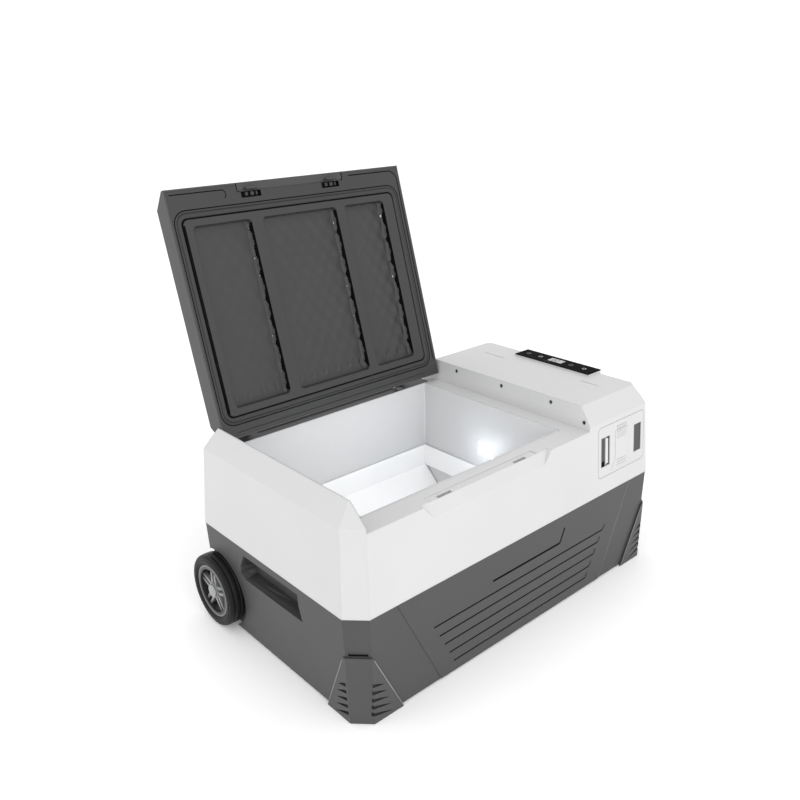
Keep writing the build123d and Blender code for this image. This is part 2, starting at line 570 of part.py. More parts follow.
# ---------------------------------------------------------------- control panel
with BuildPart() as control_fascia:
    block(POD_X0, POD_X1, POD_Y0, POD_Y1, POD_Z + 0.02, PANEL_Z)
    for px in (270.5, 292.0):
        for py in (-78.0, 63.0):
            rod_z(303.9, POD_Z + 0.1, px, py, 2.0)
    block(275.3, 291.7, -20.2, 9.2, 300.0, 312.0, Mode.SUBTRACT)
    for by in BUTTON_Y:
        rod_z(300.0, 312.0, BUTTON_X, by, BUTTON_R + 0.2, Mode.SUBTRACT)
finish(control_fascia, "control_fascia")

with BuildPart() as control_board:
    block(267.7, 294.8, -82.6, 67.4, 302.2, 303.8)
    for by in BUTTON_Y:
        block(BUTTON_X - 3.0, BUTTON_X + 3.0, by - 3.0, by + 3.0, 303.8, 304.7)
    block(270.0, 283.5, 34.0, 46.0, 300.6, 302.2)
finish(control_board, "control_board")

with BuildPart() as display_module:
    block(275.5, 291.5, -20.0, 9.0, 303.85, PANEL_Z - 0.35)
finish(display_module, "display_module")

BUTTON_NAMES = ("power", "set", "up", "down")


def control_button(y):
    """Round key with a stem over its switch."""
    with BuildPart() as button:
        rod_z(308.0, PANEL_Z + 0.15, BUTTON_X, y, BUTTON_R)
        fillet(button.edges().filter_by(GeomType.CIRCLE).sort_by(Axis.Z)[-1], 0.4)
        rod_z(307.4, 308.9, BUTTON_X, y, BUTTON_R + 1.4)
        rod_z(305.9, 307.5, BUTTON_X, y, 2.0)
    return button


for tag, by in zip(BUTTON_NAMES, BUTTON_Y):
    finish(control_button(by), f"control_button_{tag}")

# ---------------------------------------------------------------- battery module and its bay
with BuildPart() as battery_bay:
    face_box(-58.5, 58.5, -39.8, 39.8, -80.0, -6.0)
    face_box(-66.0, 66.0, -44.0, 44.0, -8.0, -3.3)
    face_box(-56.6, 56.6, -37.9, 37.9, -78.0, 2.0, Mode.SUBTRACT)
    face_box(-60.7, 60.7, -42.0, 42.0, -6.0, 2.0, Mode.SUBTRACT)
    for v in (-27.3, 27.3):
        face_box(-64.4, 64.4, v - 2.2, v + 2.2, -5.5, 2.0, Mode.SUBTRACT)
finish(battery_bay, "battery_bay")

with BuildPart() as battery_contacts:
    face_box(-20.0, 20.0, -8.0, 8.0, -78.0, -75.2)
finish(battery_contacts, "battery_contacts")

with BuildPart() as battery_case:
    face_box(-54.0, 54.0, -35.5, 35.5, -74.0, -8.0)
    fillet(battery_case.edges(), 3.0)
    face_box(-51.5, 51.5, -33.0, 33.0, -71.5, -10.5, Mode.SUBTRACT)
finish(battery_case, "battery_case")

with BuildPart() as battery_cells:
    for row in range(3):
        for col in range(5):
            centre = FACE.from_local_coords(Vector(-40.0 + 20.0 * col, -20.0 + 20.0 * row, -41.0))
            with Locations(Location(Plane(origin=centre, x_dir=FACE.x_dir, z_dir=FACE.z_dir))):
                Cylinder(9.2, 60.0)
finish(battery_cells, "battery_cells")

WINDOW_LEFT = (-52.9, -30.8, -24.5, 23.5)
WINDOW_RIGHT = (33.5, 53.1, -24.5, 21.8)

with BuildPart() as battery_face:
    face_plate(FACE_W / 2, FACE_H / 2, 7.0, -2.5, 0.0)
    with BuildSketch(FACE.offset(-0.1)) as pad:
        Polygon((-17.0, 26.0), (-17.0, -20.0), (-27.0, -36.0), (27.0, -36.0), (17.0, -20.0),
                (17.0, 26.0), align=None)
    extrude(pad.sketch, amount=0.5)
    for k in range(5):
        face_box(-12.0, 12.0, 13.0 + 4.6 * k, 14.4 + 4.6 * k, -0.1, 0.9)
    for k in range(3):
        face_box(-12.0, 12.0, -33.0 + 4.4 * k, -31.6 + 4.4 * k, -0.1, 0.9)
    for window in (WINDOW_LEFT, WINDOW_RIGHT):
        face_box(*window, -4.0, 2.0, Mode.SUBTRACT)
    for u in (-20.0, 20.0):
        for v in (-30.0, 30.0):
            face_box(u - 3.0, u + 3.0, v - 2.0, v + 2.0, -8.0, -2.4)
finish(battery_face, "battery_face")


def battery_latch(side, u_grip, grip_top):
    """Squeeze tab: grip tongue, backing plate and two noses towards the edge."""
    with BuildPart() as tab:
        face_box(u_grip - 3.0, u_grip + 3.0, -20.5, 20.8, -3.5, grip_top)
        u_in, u_out = sorted((u_grip - side * 3.6, u_grip + side * 5.0))
        face_box(u_in, u_out, -29.0, 29.0, -5.3, -3.4)
        for v0, v1 in ((25.6, 29.0), (-29.0, -25.6)):
            u_in, u_out = sorted((u_grip, side * 63.4))
            face_box(u_in, u_out, v0, v1, -5.3, -3.4)
    return tab


finish(battery_latch(-1, -39.3, 0.3), "battery_latch_left")
finish(battery_latch(1, 41.5, -1.6), "battery_latch_right")

# ---------------------------------------------------------------- wheels and axles
SPOKES = 5


def wheel_parts(side, tag):
    """Tyre, spoked rim and hub cap of one wheel, with its fixed axle."""
    x_in, x_out = sorted((side * WHEEL_IN, side * WHEEL_OUT))
    with BuildPart() as tyre:
        rod_x(x_in, x_out, WHEEL_Y, WHEEL_Z, WHEEL_R)
        fillet(tyre.edges().filter_by(GeomType.CIRCLE), 4.5)
        rod_x(x_in - 1.0, x_out + 1.0, WHEEL_Y, WHEEL_Z, 41.6, Mode.SUBTRACT)
        for x0, x1 in ((x_in, x_in + 1.0), (x_out - 1.0, x_out)):
            with BuildSketch(Plane(origin=(x0, WHEEL_Y, WHEEL_Z), x_dir=(0, 1, 0), z_dir=(1, 0, 0))) as ring:
                Circle(49.6)
                Circle(47.6, mode=Mode.SUBTRACT)
            extrude(ring.sketch, amount=x1 - x0, mode=Mode.SUBTRACT)
    finish(tyre, f"wheel_tyre_{tag}")
    r_in, r_out = sorted((side * (WHEEL_IN + 2.0), side * (WHEEL_OUT - 2.0)))
    with BuildPart() as rim:
        rod_x(r_in, r_out, WHEEL_Y, WHEEL_Z, 41.5)
        rod_x(r_in - 1.0, r_out + 1.0, WHEEL_Y, WHEEL_Z, 34.5, Mode.SUBTRACT)
        s_in, s_out = sorted((side * (WHEEL_OUT - 12.0), side * (WHEEL_OUT - 5.5)))
        for k in range(SPOKES):
            with Locations(Location(((s_in + s_out) / 2, WHEEL_Y, WHEEL_Z), (360.0 * k / SPOKES, 0, 0))):
                with Locations((0, -4.6, 22.0), (0, 4.6, 22.0)):
                    Box(s_out - s_in, 4.2, 27.0)
        h_in, h_out = sorted((side * (WHEEL_IN + 2.5), side * (WHEEL_OUT - 4.0)))
        rod_x(h_in, h_out, WHEEL_Y, WHEEL_Z, 12.0)
        rod_x(h_in - 1.0, h_out + 1.0, WHEEL_Y, WHEEL_Z, AXLE_R + 0.06, Mode.SUBTRACT)
    finish(rim, f"wheel_rim_{tag}")
    c_in, c_out = sorted((side * (WHEEL_OUT - 3.98), side * (WHEEL_OUT - 0.6)))
    with BuildPart() as cap:
        rod_x(c_in, c_out, WHEEL_Y, WHEEL_Z, 10.5)
        fillet(cap.edges().filter_by(GeomType.CIRCLE).sort_by(Axis.X)[-1 if side > 0 else 0], 2.0)
    finish(cap, f"wheel_cap_{tag}")
    with BuildPart() as axle:
        a_in, a_out = sorted((side * 278.0, side * (WHEEL_OUT - 4.6)))
        rod_x(a_in, a_out, WHEEL_Y, WHEEL_Z, AXLE_R)
        n_in, n_out = sorted((side * 278.0, side * 283.9))
        rod_x(n_in, n_out, WHEEL_Y, WHEEL_Z, 9.0)
        n_in, n_out = sorted((side * (ARCH_X + 0.05), side * (WHEEL_IN + 2.1)))
        rod_x(n_in, n_out, WHEEL_Y, WHEEL_Z, 8.5)
    finish(axle, f"axle_{tag}")


wheel_parts(-1, "left")
wheel_parts(1, "right")

# ---------------------------------------------------------------- feet and fasteners
with BuildPart() as rubber_feet:
    for fx in (-FOOT_X, FOOT_X):
        for fy in (-FOOT_Y, FOOT_Y):
            rod_z(0.0, 2.98, fx, fy, 14.0)
            rod_z(2.9, 7.9, fx, fy, 4.0)
finish(rubber_feet, "rubber_feet")

with BuildPart() as partition_screws:
    for sy, sz, sx in PARTITION_SCREWS:
        rod_x(sx - 1.2, sx - 0.02, sy, sz, 2.9)
        rod_x(sx - 0.1, sx + 8.0, sy, sz, 1.6)
        block(sx - 1.3, sx - 0.7, sy - 2.0, sy + 2.0, sz - 0.4, sz + 0.4, Mode.SUBTRACT)
finish(partition_screws, "partition_screws")

BACK_SLOPE = math.tan(math.radians(FACE_SLOPE))


def back_y(z):
    """Outer face of the back wall at a height."""
    return UPPER_BOTTOM[1] - (z - SEAM_Z) * BACK_SLOPE


def hinge_bracket(hx):
    """Screwed-on arm that carries the hinge barrel over the rear trough."""
    with BuildPart() as bracket:
        prism_x([(back_y(240.0) + 0.1, 240.0), (back_y(240.0) + 3.1, 240.0), (back_y(264.0) + 3.1, 264.0),
                 (184.9, 284.5), (184.9, 296.0), (HINGE_Y, 301.5), (HINGE_Y, 290.2), (181.9, 284.5),
                 (back_y(264.0) + 0.1, 264.0)], hx - 10.0, hx + 10.0)
        rod_x(hx - 10.0, hx + 10.0, HINGE_Y, HINGE_Z, 6.0)
        rod_x(hx - 11.0, hx + 11.0, HINGE_Y, HINGE_Z, PIN_R + 0.05, Mode.SUBTRACT)
        for dx in (-6.0, 6.0):
            rod_y(170.0, 190.0, hx + dx, HINGE_SCREW_Z, 2.05, Mode.SUBTRACT)
    return bracket


finish(hinge_bracket(HINGE_X[0]), "hinge_bracket_left")
finish(hinge_bracket(HINGE_X[1]), "hinge_bracket_right")

with BuildPart() as hinge_pins:
    for hx in HINGE_X:
        rod_x(hx - 23.6, hx + 23.6, HINGE_Y, HINGE_Z, PIN_R)
finish(hinge_pins, "hinge_pins")

with BuildPart() as hinge_screws:
    head_y = back_y(HINGE_SCREW_Z) + 3.5
    for hx in HINGE_X:
        for dx in (-6.0, 6.0):
            rod_y(174.0, head_y + 0.1, hx + dx, HINGE_SCREW_Z, 2.0)
            rod_y(head_y, head_y + 1.8, hx + dx, HINGE_SCREW_Z, 3.6)
finish(hinge_screws, "hinge_screws")

# ---------------------------------------------------------------- lid, modelled closed
LID_PROFILE = [(-LID_HALF_Y, LID_Z0), (LID_HALF_Y, LID_Z0), (LID_HALF_Y, LID_BEVEL_Z),
               (LID_BEVEL_Y, LID_Z1), (-LID_BEVEL_Y, LID_Z1), (-LID_HALF_Y, LID_BEVEL_Z)]
LID_HOLLOW = [(-177.9, 274.0), (177.9, 274.0), (177.9, 279.7), (157.1, 304.2), (-157.1, 304.2),
              (-177.9, 279.7)]
LID_RIGHT_CUT = [(LID_X_LOW, LID_Z0), (LID_X_LOW - 1.0, 260.0), (170.0, 260.0), (170.0, 320.0),
                 (LID_X_HIGH + 2.7, 320.0), (LID_X_HIGH, LID_Z1)]
PLATE_TOP = 278.5
NOTCH_TOP = 290.6
NOTCH_Y = -166.9
PANELS = ((-257.0, -160.0), (-141.0, -3.0), (13.0, 95.0))
PANEL_Y = (-127.0, 138.5)
PANEL_TOP = 286.5
GASKET = (-282.5, 128.5, -149.5, 161.0)
GASKET_W = 10.5

with BuildPart() as lid_outer:
    prism_x(LID_PROFILE, LID_X0, 152.0)
    prism_y(LID_RIGHT_CUT, -200.0, 200.0, Mode.SUBTRACT)
    prism_x(LID_HOLLOW, LID_X0 + LID_SKIN, 138.4, Mode.SUBTRACT)
    # wall behind the latch handle and blocks for its pin
    block(LATCH_X0 - 6.0, LATCH_X1 + 6.0, NOTCH_Y, NOTCH_Y + 2.2, PLATE_TOP + 0.2, 293.4)
    for x0, x1 in ((LATCH_X0 - 6.0, LATCH_X0 - 0.6), (LATCH_X1 + 0.6, LATCH_X1 + 6.0)):
        block(x0, x1, -177.9, NOTCH_Y, PLATE_TOP + 0.2, 283.5)
        block(x0, x1, -174.0, NOTCH_Y, 283.0, 288.0)
    block(LATCH_X0 - 0.6, LATCH_X1 + 0.6, -195.0, NOTCH_Y, 270.0, NOTCH_TOP, Mode.SUBTRACT)
    rod_x(LATCH_X0 - 5.0, LATCH_X1 + 5.0, LATCH_PIVOT_Y, LATCH_PIVOT_Z, 1.55, Mode.SUBTRACT)
    # hinge bosses and notches
    for hx in HINGE_X:
        for x0, x1 in ((hx - 24.0, hx - 10.4), (hx + 10.4, hx + 24.0)):
            rod_x(x0, x1, HINGE_Y, HINGE_Z, 6.0)
            block(x0, x1, 157.5, HINGE_Y, 290.6, 303.0)
        block(hx - 10.4, hx + 10.4, 157.5, 200.0, 279.6, 320.0, Mode.SUBTRACT)
        rod_x(hx - 23.9, hx + 23.9, HINGE_Y, HINGE_Z, PIN_R + 0.06, Mode.SUBTRACT)
finish_lid(lid_outer, "lid_outer")

with BuildPart() as lid_inner:
    block(LID_X0 + LID_SKIN + 0.2, 138.2, -177.7, 177.7, LID_Z0, PLATE_TOP)
    for x0, x1 in PANELS:
        block(x0 - 5.0, x1 + 5.0, PANEL_Y[0] - 5.0, PANEL_Y[1] + 5.0, PLATE_TOP - 0.5, PANEL_TOP + 2.0)
    for x0, x1 in PANELS:
        xm, ym = (x0 + x1) / 2, (PANEL_Y[0] + PANEL_Y[1]) / 2
        with BuildSketch(Plane.XY.offset(LID_Z0 - 0.5)) as mouth:
            with Locations((xm, ym)):
                RectangleRounded(x1 - x0, PANEL_Y[1] - PANEL_Y[0], 7.0)
        with BuildSketch(Plane.XY.offset(PANEL_TOP)) as back:
            with Locations((xm, ym)):
                RectangleRounded(x1 - x0 - 5.0, PANEL_Y[1] - PANEL_Y[0] - 5.0, 5.0)
        loft([mouth.sketch, back.sketch], ruled=True, mode=Mode.SUBTRACT)
    # gasket groove, wider than the gasket on its inner side
    with BuildSketch(Plane.XY.offset(LID_Z0 - 1.0)) as groove:
        gx, gy = (GASKET[0] + GASKET[1]) / 2, (GASKET[2] + GASKET[3]) / 2
        with Locations((gx, gy)):
            RectangleRounded(GASKET[1] - GASKET[0] + 0.3, GASKET[3] - GASKET[2] + 0.3, 20.0)
            RectangleRounded(GASKET[1] - GASKET[0] - 2 * GASKET_W - 4.4,
                             GASKET[3] - GASKET[2] - 2 * GASKET_W - 4.4, 9.0, mode=Mode.SUBTRACT)
    extrude(groove.sketch, amount=3.5, mode=Mode.SUBTRACT)
    block(LATCH_X0 - 0.6, LATCH_X1 + 0.6, -190.0, NOTCH_Y, 270.0, 300.0, Mode.SUBTRACT)
    # pockets beside the two hooks
    for hx in HOOK_X:
        block(hx - 16.0, hx + 18.0, -170.0, -158.0, 270.0, LID_Z0 + 3.2, Mode.SUBTRACT)
    # stiffening lines near the front and back edges
    block(-281.0, -196.0, -173.2, -171.8, 270.0, LID_Z0 + 1.0, Mode.SUBTRACT)
    block(35.0, 112.0, -173.6, -172.2, 270.0, LID_Z0 + 1.0, Mode.SUBTRACT)
    block(-262.0, 106.0, 171.6, 173.0, 270.0, LID_Z0 + 1.2, Mode.SUBTRACT)
    block(134.0, 135.6, -150.0, 156.0, 270.0, LID_Z0 + 1.0, Mode.SUBTRACT)
finish_lid(lid_inner, "lid_inner")

with BuildPart() as lid_gasket:
    with BuildSketch(Plane.XY.offset(LID_Z0 - 0.5)) as ring:
        with Locations((gx, gy)):
            RectangleRounded(GASKET[1] - GASKET[0], GASKET[3] - GASKET[2], 19.8)
            RectangleRounded(GASKET[1] - GASKET[0] - 2 * GASKET_W, GASKET[3] - GASKET[2] - 2 * GASKET_W,
                             10.0, mode=Mode.SUBTRACT)
    extrude(ring.sketch, amount=2.95)
finish_lid(lid_gasket, "lid_gasket")

with BuildPart() as lid_foam:
    block(LID_X0 + LID_SKIN + 0.3, 138.0, -156.0, 156.0, PANEL_TOP + 2.2, 304.0)
finish_lid(lid_foam, "lid_foam")

with BuildPart() as latch_pin:
    rod_x(LATCH_X0 - 4.8, LATCH_X1 + 4.8, LATCH_PIVOT_Y, LATCH_PIVOT_Z, 1.5)
finish_lid(latch_pin, "latch_pin")

with BuildPart() as latch_springs:
    for x in (-118.0, -38.0):
        block(x - 12.0, x + 12.0, NOTCH_Y - 0.45, NOTCH_Y - 0.02, 275.6, 289.0)
finish_lid(latch_springs, "latch_springs")

HANDLE_PROFILE = [(-LID_HALF_Y, LID_Z0 + 0.1), (-LID_HALF_Y, LID_BEVEL_Z), (-172.6, 289.8),
                  (-170.6, 288.0), (-168.5, 284.5), (-168.5, LID_Z0 + 0.1)]

with BuildPart() as latch_handle:
    prism_x(HANDLE_PROFILE, LATCH_X0, LATCH_X1)
    rod_x(LATCH_X0 - 1.0, LATCH_X1 + 1.0, LATCH_PIVOT_Y, LATCH_PIVOT_Z, 1.56, Mode.SUBTRACT)
finish_lid(latch_handle, "latch_handle")

with BuildPart() as latch_hooks:
    for hx in HOOK_X:
        block(hx - 10.5, hx + 10.5, -171.4, -169.4, 264.8, LID_Z0 + 0.1)
        prism_x([(-169.5, 268.4), (-168.4, 266.4), (-169.5, 264.8)], hx - 10.5, hx + 10.5)
        block(hx - 3.5, hx + 3.5, -175.0, -167.0, 267.6, 271.6, Mode.SUBTRACT)
finish_lid(latch_hooks, "latch_hooks")

HINGE_AXIS = Axis((0, HINGE_Y, HINGE_Z), (1, 0, 0))
for item, name in LID_EXPORTS:
    opened = item.rotate(HINGE_AXIS, -OPEN_DEG)
    opened.label = name
    EXPORTS.append((opened, name))

for item, name in EXPORTS:
    export_step(item, f"parts/{name}.step")
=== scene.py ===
"""Looks of the compressor cooler fridge. Metres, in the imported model's frame."""
import json
import math

import bmesh
import bpy
from mathutils import Matrix, Quaternion, Vector


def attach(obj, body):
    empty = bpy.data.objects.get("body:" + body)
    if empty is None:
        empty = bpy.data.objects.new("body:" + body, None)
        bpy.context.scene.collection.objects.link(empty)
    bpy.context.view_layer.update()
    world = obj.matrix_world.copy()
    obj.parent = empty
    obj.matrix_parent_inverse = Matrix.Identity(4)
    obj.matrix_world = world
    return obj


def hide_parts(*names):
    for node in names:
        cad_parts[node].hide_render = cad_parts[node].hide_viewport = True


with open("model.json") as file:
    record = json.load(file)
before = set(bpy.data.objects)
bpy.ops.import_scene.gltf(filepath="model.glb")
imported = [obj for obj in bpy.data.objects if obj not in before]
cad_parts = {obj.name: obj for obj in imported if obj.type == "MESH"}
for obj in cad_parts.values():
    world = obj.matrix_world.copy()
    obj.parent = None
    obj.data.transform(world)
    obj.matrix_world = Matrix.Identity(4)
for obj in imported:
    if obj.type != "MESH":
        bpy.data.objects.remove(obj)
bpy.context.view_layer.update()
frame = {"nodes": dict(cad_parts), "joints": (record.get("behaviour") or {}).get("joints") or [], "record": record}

MM = 0.001
WHEEL_X, AXLE_Y, AXLE_Z = 322.5, 140.5, 57.4
scene = bpy.context.scene
nodes = frame["nodes"]

# ---------------------------------------------------------------- camera
camera = bpy.data.objects.new("camera", bpy.data.cameras.new("camera"))
scene.collection.objects.link(camera)
camera.data.sensor_width = 36.0
camera.data.lens = 37.39
camera.data.clip_start, camera.data.clip_end = 0.05, 60.0
camera.location = (-0.8188, -0.8493, 0.7715)
camera.rotation_mode = "QUATERNION"
aim = (Vector((0.0, 0.0837, 0.2904)) - camera.location).normalized()
camera.rotation_quaternion = aim.to_track_quat("-Z", "Y") @ Quaternion((0, 0, 1), math.radians(-1.18))
scene.camera = camera
scene.view_settings.view_transform = "Standard"
scene.view_settings.look = "None"


# ---------------------------------------------------------------- materials
class Build:
    """A node tree with short names for making and wiring nodes."""

    def __init__(self, name):
        self.material = bpy.data.materials.new(name)
        self.material.use_nodes = True
        self.tree = self.material.node_tree
        self.tree.nodes.clear()
        self.out = self.add("ShaderNodeOutputMaterial")
        self.shader = self.add("ShaderNodeBsdfPrincipled")
        self.wire(self.shader, "BSDF", self.out, "Surface")
        self.place = self.add("ShaderNodeTexCoord")

    def add(self, kind, **settings):
        node = self.tree.nodes.new(kind)
        for key, value in settings.items():
            setattr(node, key, value)
        return node

    def wire(self, a, output, b, socket):
        self.tree.links.new(a.outputs[output], b.inputs[socket])

    def noise(self, scale, detail=3.0, rough=0.55, stretch=None):
        node = self.add("ShaderNodeTexNoise")
        node.inputs["Scale"].default_value = scale
        node.inputs["Detail"].default_value = detail
        node.inputs["Roughness"].default_value = rough
        if stretch:
            mapping = self.add("ShaderNodeMapping")
            mapping.inputs["Scale"].default_value = stretch
            self.wire(self.place, "Object", mapping, "Vector")
            self.wire(mapping, "Vector", node, "Vector")
        else:
            self.wire(self.place, "Object", node, "Vector")
        return node

    def ramp(self, source, output, low, high, at=(0.35, 0.65)):
        node = self.add("ShaderNodeValToRGB")
        node.color_ramp.elements[0].position, node.color_ramp.elements[1].position = at
        node.color_ramp.elements[0].color = (*low, 1.0)
        node.color_ramp.elements[1].color = (*high, 1.0)
        self.wire(source, output, node, "Fac")
        return node

    def spread(self, source, output, low, high):
        node = self.add("ShaderNodeMapRange")
        node.inputs["From Min"].default_value = 0.3
        node.inputs["From Max"].default_value = 0.7
        node.inputs["To Min"].default_value = low
        node.inputs["To Max"].default_value = high
        self.wire(source, output, node, "Value")
        return node


def finish(name, colour, rough, grain=1800.0, depth=0.03, mottle=0.03, patch=14.0, edge=0.7,
           metallic=0.0, coat=0.0, specular=0.5, stretch=None, bump=0.5, ior=1.5, glow=0.0):
    """A moulded, painted or drawn surface: grain in the relief, slow changes in colour and gloss,
    and edges softened over edge mm."""
    b = Build(name)
    slow = b.noise(patch, 4.0)
    low = tuple(c * (1.0 - mottle) for c in colour)
    high = tuple(min(1.0, c * (1.0 + mottle)) for c in colour)
    b.wire(b.ramp(slow, "Fac", low, high), "Color", b.shader, "Base Color")
    b.wire(b.spread(slow, "Fac", rough * 0.92, min(1.0, rough * 1.1)), "Result", b.shader, "Roughness")
    fine = b.noise(grain, 2.0, 0.6, stretch)
    relief = b.add("ShaderNodeBump")
    relief.inputs["Strength"].default_value = bump
    relief.inputs["Distance"].default_value = depth * MM
    b.wire(fine, "Fac", relief, "Height")
    if edge:
        soft = b.add("ShaderNodeBevel", samples=4)
        soft.inputs["Radius"].default_value = edge * MM
        b.wire(soft, "Normal", relief, "Normal")
    b.wire(relief, "Normal", b.shader, "Normal")
    b.shader.inputs["Metallic"].default_value = metallic
    b.shader.inputs["Coat Weight"].default_value = coat
    b.shader.inputs["Coat Roughness"].default_value = 0.05
    b.shader.inputs["Specular IOR Level"].default_value = specular
    b.shader.inputs["IOR"].default_value = ior
    b.shader.inputs["Emission Color"].default_value = (1.0, 1.0, 1.0, 1.0)
    b.shader.inputs["Emission Strength"].default_value = glow
    return b.material


looks = {
    "shell_white": finish("shell_white", (0.603, 0.603, 0.604), 0.40, 1500, 0.02, 0.012, 9.0, 2.0, bump=0.35),
    "shell_dark": finish("shell_dark", (0.053, 0.053, 0.054), 0.48, 1500, 0.05, 0.05, 11.0, 1.2, bump=0.7),
    "guard_dark": finish("guard_dark", (0.055, 0.055, 0.056), 0.46, 1500, 0.05, 0.05, 13.0, 0.6, bump=0.7),
    "liner_grey": finish("liner_grey", (0.59, 0.594, 0.60), 0.42, 1300, 0.015, 0.015, 7.0, 1.0, bump=0.3),
    "foam": finish("foam", (0.72, 0.62, 0.36), 0.9, 420, 0.5, 0.12, 30.0, 0.0, bump=0.9),
    "tube_metal": finish("tube_metal", (0.60, 0.60, 0.61), 0.33, 900, 0.03, 0.06, 40.0, 0.0, metallic=1.0),
    "copper": finish("copper", (0.64, 0.32, 0.19), 0.3, 900, 0.03, 0.14, 45.0, 0.0, metallic=1.0),
    "basket_white": finish("basket_white", (0.89, 0.892, 0.895), 0.36, 1300, 0.02, 0.012, 9.0, 0.6, bump=0.3),
    "lid_inner_grey": finish("lid_inner_grey", (0.034, 0.034, 0.0345), 0.55, 1500, 0.05, 0.05, 10.0, 0.5,
                             bump=0.7),
    "gasket": finish("gasket", (0.032, 0.032, 0.033), 0.6, 900, 0.04, 0.08, 24.0, 0.0),
    "latch_grey": finish("latch_grey", (0.050, 0.050, 0.051), 0.5, 1500, 0.05, 0.05, 16.0, 0.5, bump=0.7),
    "steel": finish("steel", (0.50, 0.50, 0.51), 0.32, 1600, 0.02, 0.08, 60.0, 0.3, metallic=1.0,
                    stretch=(1.0, 0.06, 1.0)),
    "black_paint": finish("black_paint", (0.016, 0.016, 0.018), 0.28, 700, 0.04, 0.15, 30.0, 0.4),
    "tyre_rubber": finish("tyre_rubber", (0.013, 0.013, 0.0135), 0.42, 1400, 0.06, 0.10, 30.0, 0.0,
                          specular=0.2, ior=1.4),
    "rim_grey": finish("rim_grey", (0.17, 0.172, 0.178), 0.36, 1500, 0.03, 0.06, 30.0, 0.5),
    "cap_silver": finish("cap_silver", (0.34, 0.345, 0.35), 0.26, 1500, 0.02, 0.04, 40.0, 0.5, metallic=0.5),
    "fascia_black": finish("fascia_black", (0.003, 0.003, 0.003), 0.3, 1800, 0.004, 0.2, 22.0, 0.4,
                           specular=0.06, ior=1.12),
    "button_black": finish("button_black", (0.008, 0.008, 0.008), 0.35, 1800, 0.004, 0.15, 60.0, 0.3,
                           specular=0.3, ior=1.12),
    "tab_white": finish("tab_white", (0.66, 0.665, 0.67), 0.36, 1500, 0.02, 0.015, 30.0, 0.3, bump=0.35),
    "board_green": finish("board_green", (0.012, 0.10, 0.035), 0.32, 800, 0.05, 0.15, 90.0, 0.0),
    "wire_black": finish("wire_black", (0.013, 0.013, 0.014), 0.45, 900, 0.05, 0.15, 50.0, 0.0),
    "fan_black": finish("fan_black", (0.016, 0.016, 0.017), 0.4, 1500, 0.04, 0.12, 30.0, 0.3),
    "foot_rubber": finish("foot_rubber", (0.014, 0.014, 0.014), 0.7, 900, 0.06, 0.15, 60.0, 0.4),
    "cell_wrap": finish("cell_wrap", (0.03, 0.15, 0.30), 0.3, 900, 0.02, 0.08, 50.0, 0.3, coat=0.2),
    "display_glass": finish("display_glass", (0.40, 0.42, 0.43), 0.18, 1800, 0.003, 0.06, 90.0, 0.2,
                            coat=0.4),
}
line_black = finish("line_black", (0.005, 0.005, 0.005), 0.6, 1200, 0.05, 0.2, 60.0, 0.0,
                    specular=0.3, ior=1.15)
quilt_dark = finish("quilt_dark", (0.035, 0.035, 0.0355), 0.48, 1300, 0.05, 0.06, 14.0, 0.0, bump=0.6)


def lamp_look():
    b = Build("lamp_lens")
    slow = b.noise(260.0, 2.0)
    b.wire(b.ramp(slow, "Fac", (0.78, 0.86, 0.95), (0.92, 0.96, 1.0)), "Color", b.shader, "Base Color")
    b.wire(b.ramp(slow, "Fac", (0.80, 0.90, 1.0), (0.90, 0.96, 1.0)), "Color", b.shader, "Emission Color")
    b.shader.inputs["Emission Strength"].default_value = 9.0
    b.shader.inputs["Roughness"].default_value = 0.35
    relief = b.add("ShaderNodeBump")
    relief.inputs["Strength"].default_value = 0.5
    relief.inputs["Distance"].default_value = 0.0001
    b.wire(b.noise(700.0), "Fac", relief, "Height")
    b.wire(relief, "Normal", b.shader, "Normal")
    return b.material


looks["lamp_lens"] = lamp_look()


def rim_look():
    """Dark rim with lighter machined spokes and a painted highlight line along its edge, by distance from the
    axle.
    """
    b = Build("rim_grey")
    per_metre = 20.0  # the gradient runs out 50 mm from the axle
    shift = b.add("ShaderNodeMapping")
    shift.inputs["Scale"].default_value = (0.0, per_metre, per_metre)
    shift.inputs["Location"].default_value = (0.0, -AXLE_Y * MM * per_metre, -AXLE_Z * MM * per_metre)
    b.wire(b.place, "Object", shift, "Vector")
    ball = b.add("ShaderNodeTexGradient", gradient_type="SPHERICAL")
    b.wire(shift, "Vector", ball, "Vector")
    ramp = b.add("ShaderNodeValToRGB")
    stops = ramp.color_ramp.elements
    # a light band about 38 to 41 mm from the axle paints the highlight along the rim's edge; the rest is the rim's
    # own dark ring and lighter spokes
    stops[0].position, stops[0].color = 0.18, (0.02, 0.02, 0.02, 1.0)
    stops[1].position, stops[1].color = 0.20, (0.16, 0.16, 0.165, 1.0)
    for place, tone in ((0.225, 0.16), (0.24, 0.025), (0.31, 0.025), (0.33, 0.13), (0.62, 0.26),
                        (0.76, 0.30)):
        stop = stops.new(place)
        stop.color = (tone, tone, tone * 1.02, 1.0)
    b.wire(ball, "Fac", ramp, "Fac")
    b.wire(ramp, "Color", b.shader, "Base Color")
    slow = b.noise(60.0)
    b.wire(b.spread(slow, "Fac", 0.26, 0.40), "Result", b.shader, "Roughness")
    relief = b.add("ShaderNodeBump")
    relief.inputs["Strength"].default_value = 0.4
    relief.inputs["Distance"].default_value = 0.00004
    b.wire(b.noise(1500.0), "Fac", relief, "Height")
    soft = b.add("ShaderNodeBevel", samples=4)
    soft.inputs["Radius"].default_value = 0.0006
    b.wire(soft, "Normal", relief, "Normal")
    b.wire(relief, "Normal", b.shader, "Normal")
    return b.material


looks["rim_grey"] = rim_look()

for part in frame["record"]["subparts"]:
    mesh = nodes[part["node"]].data
    if not mesh.materials:
        mesh.materials.append(None)
    for i in range(len(mesh.materials)):
        mesh.materials[i] = looks[part["material_slot"]]

